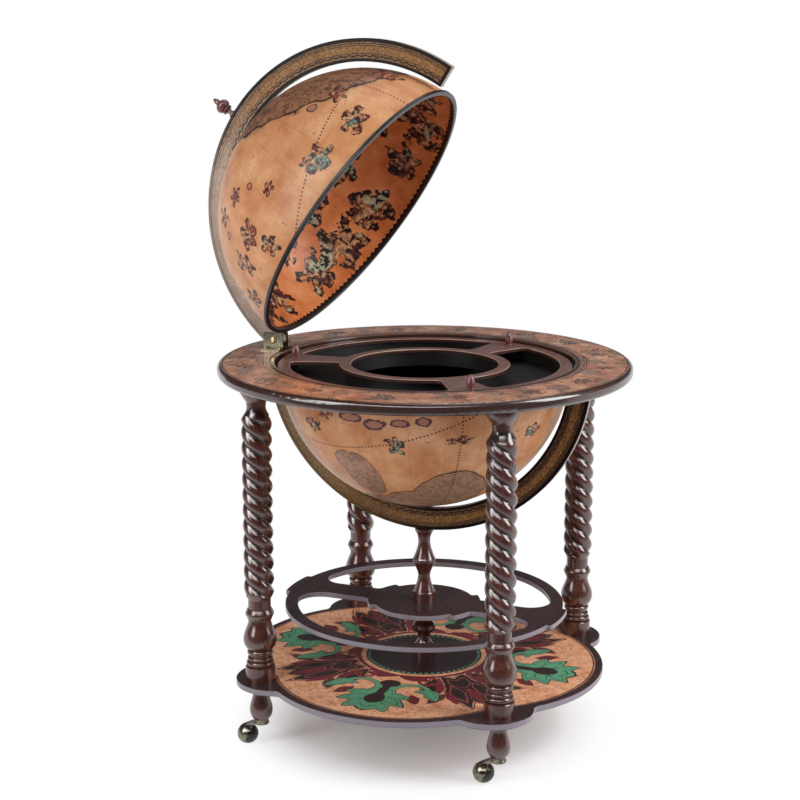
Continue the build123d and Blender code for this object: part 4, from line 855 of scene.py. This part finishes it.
# %% Lid shell
lid_shell, tree, shader = new_finish("map_paper_on_moulded_shell_varnished", **PAPER_VARNISH)
point = millimetres(tree, lid_centre, LID_ANGLE)
courses = [((-0.049, -0.446, -0.893), 0.0), ((0.85, -0.5, 0.12), 30.0)]
tones = ("#a87a58", "#875a42", "#4b3329")
outer, paper = globe_paper(tree, point, LID_LAND, LID_ISLES, LID_SPRAYS, courses, tones)
deep = add_node(tree, "ValToRGB", [paper], stops=DEEP)
figure, shade = sprays(tree, point, LID_FIGURES, grain_mm=22.0, warp=1.7, heart=0.6)
figure_tones = [(0.40, "#5e2d26"), (0.47, "#c48e62"), (0.54, "#86492f"), (0.62, "#a3a483")]
figure_colour = inked(tree, point, shade, figure_tones, "#1c0f14")
axes = add_node(tree, "SeparateXYZ", [point], out=None)
east = add_node(tree, "Math ARCTAN2", [axes[1], axes[0]])
tooth = add_node(tree, "Math PINGPONG", [east, TOOTH_ANGLE])
inputs = [tooth, TOOTH_HEIGHT / TOOTH_ANGLE, BORDER_TOP - TOOTH_HEIGHT]
border = add_node(tree, "Math MULTIPLY_ADD", inputs)
border = add_node(tree, "Math SUBTRACT", [border, axes[2]])
border = add_node(tree, "MapRange", [border, -0.5, 0.5], **SMOOTH)
inner = layered(tree, deep, [(figure, figure_colour), (border, "#17100f")])
radius = add_node(tree, "VectorMath LENGTH", [point], 1)
outward = add_node(tree, "MapRange", [radius, *SHELL_MIDDLE], **SMOOTH)
colour = layered(tree, inner, [(outward, outer)])
coat_with(tree, shader, colour, paper, 0.05)
paint(lid_shell, "upper_hemisphere")
print("lid shell:", len(tree.nodes), "nodes")

# %% Lower shell
LOWER_LAND = [
    spot(170, -41, 31, 56),
    spot(164, -33, 22, 24),
    spot(178, -64, 60, 40),
    spot(-143, -53, 62, 80),
    spot(-162, -62, 60, 58),
    spot(-90, -52, 60, 30),
    spot(-20, -40, 50, 34),
    spot(70, -46, 60, 36),
]
LOWER_ISLES = [
    spot(172, -12, 19, 7),
    spot(-178, -14, 17, 8),
    spot(-168, -13, 14, 6),
    spot(-159, -12, 11, 7),
    spot(150, -17, 12, 6),
    spot(-110, -20, 14, 7),
]
LOWER_SPRAYS = [spot(-144, -20, 26, 9, 0.1), spot(160, -12, 17, 12)]
LOWER_SPRAYS += ring_of_spots(7, -110, -20, 20, 14, 9)
lower_shell, tree, shader = new_finish("map_paper_on_moulded_bowl_varnished", **PAPER_VARNISH)
point = millimetres(tree, GLOBE_CENTRE)
courses = [((-0.392, 0.203, 0.897), 0.0), ((0.588, -0.809, 0.0), 0.0)]
tones = ("#b08c70", "#a07a60", "#866450")
outer, paper = globe_paper(tree, point, LOWER_LAND, LOWER_ISLES, LOWER_SPRAYS, courses, tones)
# Painted shade: the bowl's inside is laid near black.
radius = add_node(tree, "VectorMath LENGTH", [point], 1)
shaded_inside = add_node(tree, "MapRange", [radius, *reversed(SHELL_MIDDLE)], **SMOOTH)
colour = layered(tree, outer, [(shaded_inside, "#16110f")])
coat_with(tree, shader, colour, paper, 0.05)
paint(lower_shell, "lower_hemisphere")
print("lower shell:", len(tree.nodes), "nodes")

# %% [markdown]
# ## Meridian bands
# The bands are bent wood with printed sides: an olive-brown field speckled like old
# engraving, dark lines inside raised dark borders, and a small wave near the globe. The
# rims are plain grey-taupe lacquer. All of it follows the radius from the globe's
# centre, and the fine speckle is drawn 2.6 mm coarse so that it shows. Towards the
# hinge a painted sheen lays the print and the borders pale, and the lower band is
# painted darker towards its front end as painted shade.

# %% Band print
BORDER_SHEEN_FADE = (0.34, 0.54)  # way round the band where the painted sheen ends and the borders turn dark
SPECKLE_MM = 2.6
# Radii of the printed parts, in millimetres from the globe's centre
INNER_BORDER, OUTER_BORDER = 261.0, 288.0
STRIPE = 276.0              # middle of the ochre stripe
INNER_RULES, OUTER_RULE = (269.0, 282.0), 285.5
WAVE_FOOT = 266.5
WAVE_ANGLE, WAVE_HEIGHT = math.radians(1.6), 2.6   # half of one wave, and its rise in mm
RIM_SIDE = (6.2, 5.6)       # mm from the band's middle plane where the print stops
BAND_RIM = [(0.3, "#8f8078"), (0.7, "#ab9d92")]
BAND_VARNISH = {**PAPER_VARNISH, "Specular_IOR_Level": 0.1, "Coat_Weight": 0.08}


def band_finish(name, centre, turn, tones, end_angle=None):
    """Printed sides of a band; its tones, with painted sheen and shade, run from the hinge
    round to the front end.
    """
    band, tree, shader = new_finish(name, **BAND_VARNISH)
    point = millimetres(tree, centre, turn)
    axes = add_node(tree, "SeparateXYZ", [point], out=None)
    flat = add_node(tree, "CombineXYZ", [0.0, axes[1], axes[2]])
    radius = add_node(tree, "VectorMath LENGTH", [flat], 1)
    angle = add_node(tree, "Math ARCTAN2", [axes[2], axes[1]])
    angle = add_node(tree, "Math ABSOLUTE", [angle])
    way = add_node(tree, "Math DIVIDE", [angle, math.pi])
    ground = add_node(tree, "ValToRGB", [way], stops=tones)
    speckle = add_node(tree, "TexNoise", grains(point, SPECKLE_MM, 3.0, Roughness=0.7))
    grit = add_node(tree, "MapRange", [speckle, 0.48, 0.6, 0.0, 0.6], **SMOOTH)
    # Painted sheen: near the hinge the clouds and grit are laid weaker.
    print_past_sheen = add_node(tree, "MapRange", [way, *BORDER_SHEEN_FADE, 0.4, 1.0], **SMOOTH)
    pale = add_node(tree, "MapRange", [speckle, 0.46, 0.36, 0.0, 0.35], **SMOOTH)
    broad = add_node(tree, "TexNoise", grains(point, 25.0, 4.0))
    cloud = add_node(tree, "MapRange", [broad, 0.5, 0.62, 0.0, 0.4], **SMOOTH)
    stripe = add_node(tree, "MapRange", [way, 0.38, 0.55, 0.0, 0.5], **SMOOTH)
    stripe = where_all(tree, line_at(tree, radius, STRIPE, 5.5, 0.8), stripe)
    rules = line_at(tree, radius, OUTER_RULE, 0.5, 0.3)
    for place in INNER_RULES:
        rules = where_any(tree, rules, line_at(tree, radius, place, 0.4, 0.3))
    wave = add_node(tree, "Math PINGPONG", [angle, WAVE_ANGLE])
    inputs = [wave, WAVE_HEIGHT / WAVE_ANGLE, radius]
    wave = add_node(tree, "Math MULTIPLY_ADD", inputs)
    wave = line_at(tree, wave, WAVE_FOOT, 0.9, 0.4)
    inside = [radius, INNER_BORDER + 0.2, INNER_BORDER - 0.2]
    outside = [radius, OUTER_BORDER - 0.2, OUTER_BORDER + 0.2]
    borders = [add_node(tree, "MapRange", inputs, **SMOOTH) for inputs in (inside, outside)]
    # Painted sheen: near the hinge the borders and rules are laid weaker.
    borders_past_sheen = add_node(tree, "MapRange", [way, *BORDER_SHEEN_FADE, 0.3, 1.0], **SMOOTH)
    dark = where_all(tree, where_any(tree, *borders), borders_past_sheen)
    if end_angle is not None:
        inputs = [angle, end_angle - 0.024, end_angle - 0.021]
        dark = where_any(tree, dark, add_node(tree, "MapRange", inputs, **SMOOTH))
    side = add_node(tree, "Math ABSOLUTE", [axes[0]])
    layers = [
        (where_all(tree, cloud, print_past_sheen), "#6b4a34"),
        (stripe, "#a8763c"),
        (where_all(tree, grit, print_past_sheen), "#3f2c20"),
        (pale, "#d0ab80"),
        (where_all(tree, rules, borders_past_sheen), "#33231a"),
        (wave, "#2b1d16"),
        (dark, "#170f0d"),
        (
            add_node(tree, "MapRange", [side, *RIM_SIDE], **SMOOTH),
            add_node(tree, "ValToRGB", [broad], stops=BAND_RIM),
        ),
    ]
    coat_with(tree, shader, layered(tree, ground, layers), speckle, 0.04)
    return band


# Painted sheen: both bands' tones go pale grey towards the hinge. Painted shade: the lower
# band's tones darken towards its front end.
UPPER_SHEEN_TONES = [(0.0, "#ab9c90"), (0.40, "#bba999"), (0.58, "#9c7450"), (1.0, "#8a6236")]
LOWER_SHEEN_SHADE_TONES = [(0.0, "#8a7862"), (0.35, "#82643f"), (0.6, "#6e4c2c"), (1.0, "#54361f")]
FRONT_END = math.radians(178.5)
name = "printed_band_of_the_lid_lacquered"
paint(band_finish(name, lid_centre, LID_ANGLE, UPPER_SHEEN_TONES, FRONT_END), "upper_band")
name = "printed_band_of_the_bowl_lacquered"
paint(band_finish(name, GLOBE_CENTRE, 0.0, LOWER_SHEEN_SHADE_TONES), "lower_band")
print("both bands printed")

# %% [markdown]
# ## Insert, trough and rims
# The lift-out insert is thin board in a mauve-wine stain. Its rounded edges carry a
# painted highlight in pale tan, and its sawn sides are dark. The knobs and the finial are
# turned and wine-purple. The trough, the ring under the insert, the bottle floor, the
# lid's rim and the casters' wheels are black.

# %% Insert
insert_board, tree, shader = new_finish("board_mauve_stain_satin_lacquer", **BOARD_LACQUER)
mauve = [(0.3, "#5a3833"), (0.55, "#73504a"), (0.8, "#8a675c")]
colour, fibres = board_colour(tree, millimetres(tree), mauve)
# Painted highlight: pale tan on the rounded edges; the sawn sides are dark.
edge_highlight, sawn = upright_face(tree, 0.8, 0.97), upright_face(tree, 0.2, 0.4)
colour = layered(tree, colour, [(edge_highlight, "#c4a086"), (sawn, "#3f2722")])
coat_with(tree, shader, colour, fibres, 0.03)
paint(insert_board, "insert_disc")
print(insert_board.name)

# %% Turned knobs and finial
KNOB_LACQUER = {**BOARD_LACQUER, "Coat_Weight": 1.0, "Coat_Roughness": 0.16}
knob_wood, tree, shader = new_finish("turned_knob_wine_lacquer", **KNOB_LACQUER)
point = millimetres(tree)
fibres = add_node(tree, "Mapping", {"Vector": point, "Scale": (0.5, 0.5, 0.04)})
fibres = add_node(tree, "TexNoise", grains(fibres, 1.0, 4.0))
colour = add_node(tree, "ValToRGB", [fibres], stops=[(0.3, "#4f2628"), (0.7, "#86504e")])
coat_with(tree, shader, colour, fibres, 0.04)
paint(knob_wood, "insert_knobs", "finial")
print(knob_wood.name)

# %% Black pieces
TROUGH, WHEELS = ["glass_tray", "well_ring"], ["caster_ball"]
# name: pieces, low and high colour, roughness, coat, coat roughness
BLACKS = {
    "moulded_trough_black_satin": (TROUGH, "#0c0a0b", "#171314", 0.5, 0.0, 0.1),
    "lid_rim_black_gloss_lacquer": (["lid_rim"], "#120f11", "#1e191b", 0.45, 0.25, 0.25),
    "bottle_floor_black_board": (["bottle_floor"], "#0d0b0b", "#191514", 0.6, 0.0, 0.1),
    "caster_wheel_black_moulded_plastic": (WHEELS, "#141414", "#232322", 0.28, 0.0, 0.1),
}
for name, (pieces, low, high, roughness, coat, coat_roughness) in BLACKS.items():
    black, tree, shader = new_finish(
        name, Roughness=roughness, IOR=1.5, Coat_Weight=coat, Coat_Roughness=coat_roughness
    )
    cloud = add_node(tree, "TexNoise", grains(millimetres(tree), 12.0, 5.0))
    colour = add_node(tree, "ValToRGB", [cloud], stops=[(0.3, low), (0.7, high)])
    coat_with(tree, shader, colour, cloud, 0.04)
    paint(black, *pieces)
print(len(BLACKS), "black finishes")

# %% [markdown]
# ## Metals
# The hinge is pressed steel in dark old-brass plating; its two cheeks are painted paler
# as painted light, and its other faces darker as painted shade. Its bolt and the flange's
# screws are turned brass, and hidden screws and the rod are zinc-plated steel. Each
# caster is a black plastic wheel under a half-ball hood, and the hood and its plate are
# dark pewter bronze. All are metals, so their colour lives in the reflection; fine noise
# in the roughness breaks up the highlight as plating does.

# %% Metals
ZINC_PIECES = ["centre_rod", "rod_nuts", "rod_washer", "leg_bolts", "lid_bolts"]
ZINC_PIECES += ["pole_bolt", "pole_washer", "band_brackets", "bracket_screws"]
HOODS = ["caster_hood", "caster_plates"]
# name: pieces, low and high colour, roughness, size of its clouds in millimetres
METALS = {
    "turned_brass": (["hinge_bolt", "hinge_screws"], "#a88c55", "#dcc292", 0.26, 6.0),
    "zinc_plated_steel": (ZINC_PIECES, "#8d8f92", "#b9bbbd", 0.34, 8.0),
    "caster_hood_pewter_bronze_plating": (HOODS, "#5e5a4e", "#958e7d", 0.24, 7.0),
    "caster_axle_steel": (["caster_axle"], "#77746c", "#a5a198", 0.3, 6.0),
}
for name, (pieces, low, high, roughness, cloud_mm) in METALS.items():
    metal, tree, shader = new_finish(name, Metallic=1.0)
    cloud = add_node(tree, "TexNoise", grains(millimetres(tree), cloud_mm, 5.0))
    colour = add_node(tree, "ValToRGB", [cloud], stops=[(0.32, low), (0.66, high)])
    inputs = {"Value": cloud, "To Min": roughness - 0.06, "To Max": roughness + 0.1}
    tree.links.new(add_node(tree, "MapRange", inputs), shader.inputs["Roughness"])
    coat_with(tree, shader, colour, cloud, 0.02)
    paint(metal, *pieces)
print(len(METALS), "metal finishes")

# %% Hinge bracket: painted shade on its dark faces, painted light on the two cheeks
bracket_steel, tree, shader = new_finish(
    "pressed_steel_old_brass_plating", Metallic=1.0, Roughness=0.3
)
cloud = add_node(tree, "TexNoise", grains(millimetres(tree), 5.0, 5.0))
# Painted shade: the darker plating goes on every face but the cheeks. Painted light: the
# lighter plating is laid on the two sideways cheeks.
plating = add_node(tree, "ValToRGB", [cloud], stops=[(0.32, "#2b261d"), (0.66, "#544c3a")])
lit_plating = add_node(tree, "ValToRGB", [cloud], stops=[(0.32, "#5c574a"), (0.66, "#7f7967")])
normal = add_node(tree, "TexCoord", out=1)
sideways = add_node(tree, "VectorMath DOT_PRODUCT", [normal, (1, 0, 0)], 1)
sideways = add_node(tree, "Math ABSOLUTE", [sideways])
lit_cheek = add_node(tree, "MapRange", [sideways, 0.5, 0.8], **SMOOTH)
coat_with(tree, shader, layered(tree, plating, [(lit_cheek, lit_plating)]), cloud, 0.03)
paint(bracket_steel, "hinge_bracket")

bare = sorted(set(nodes) - painted)
print("pieces without a finish:", bare)
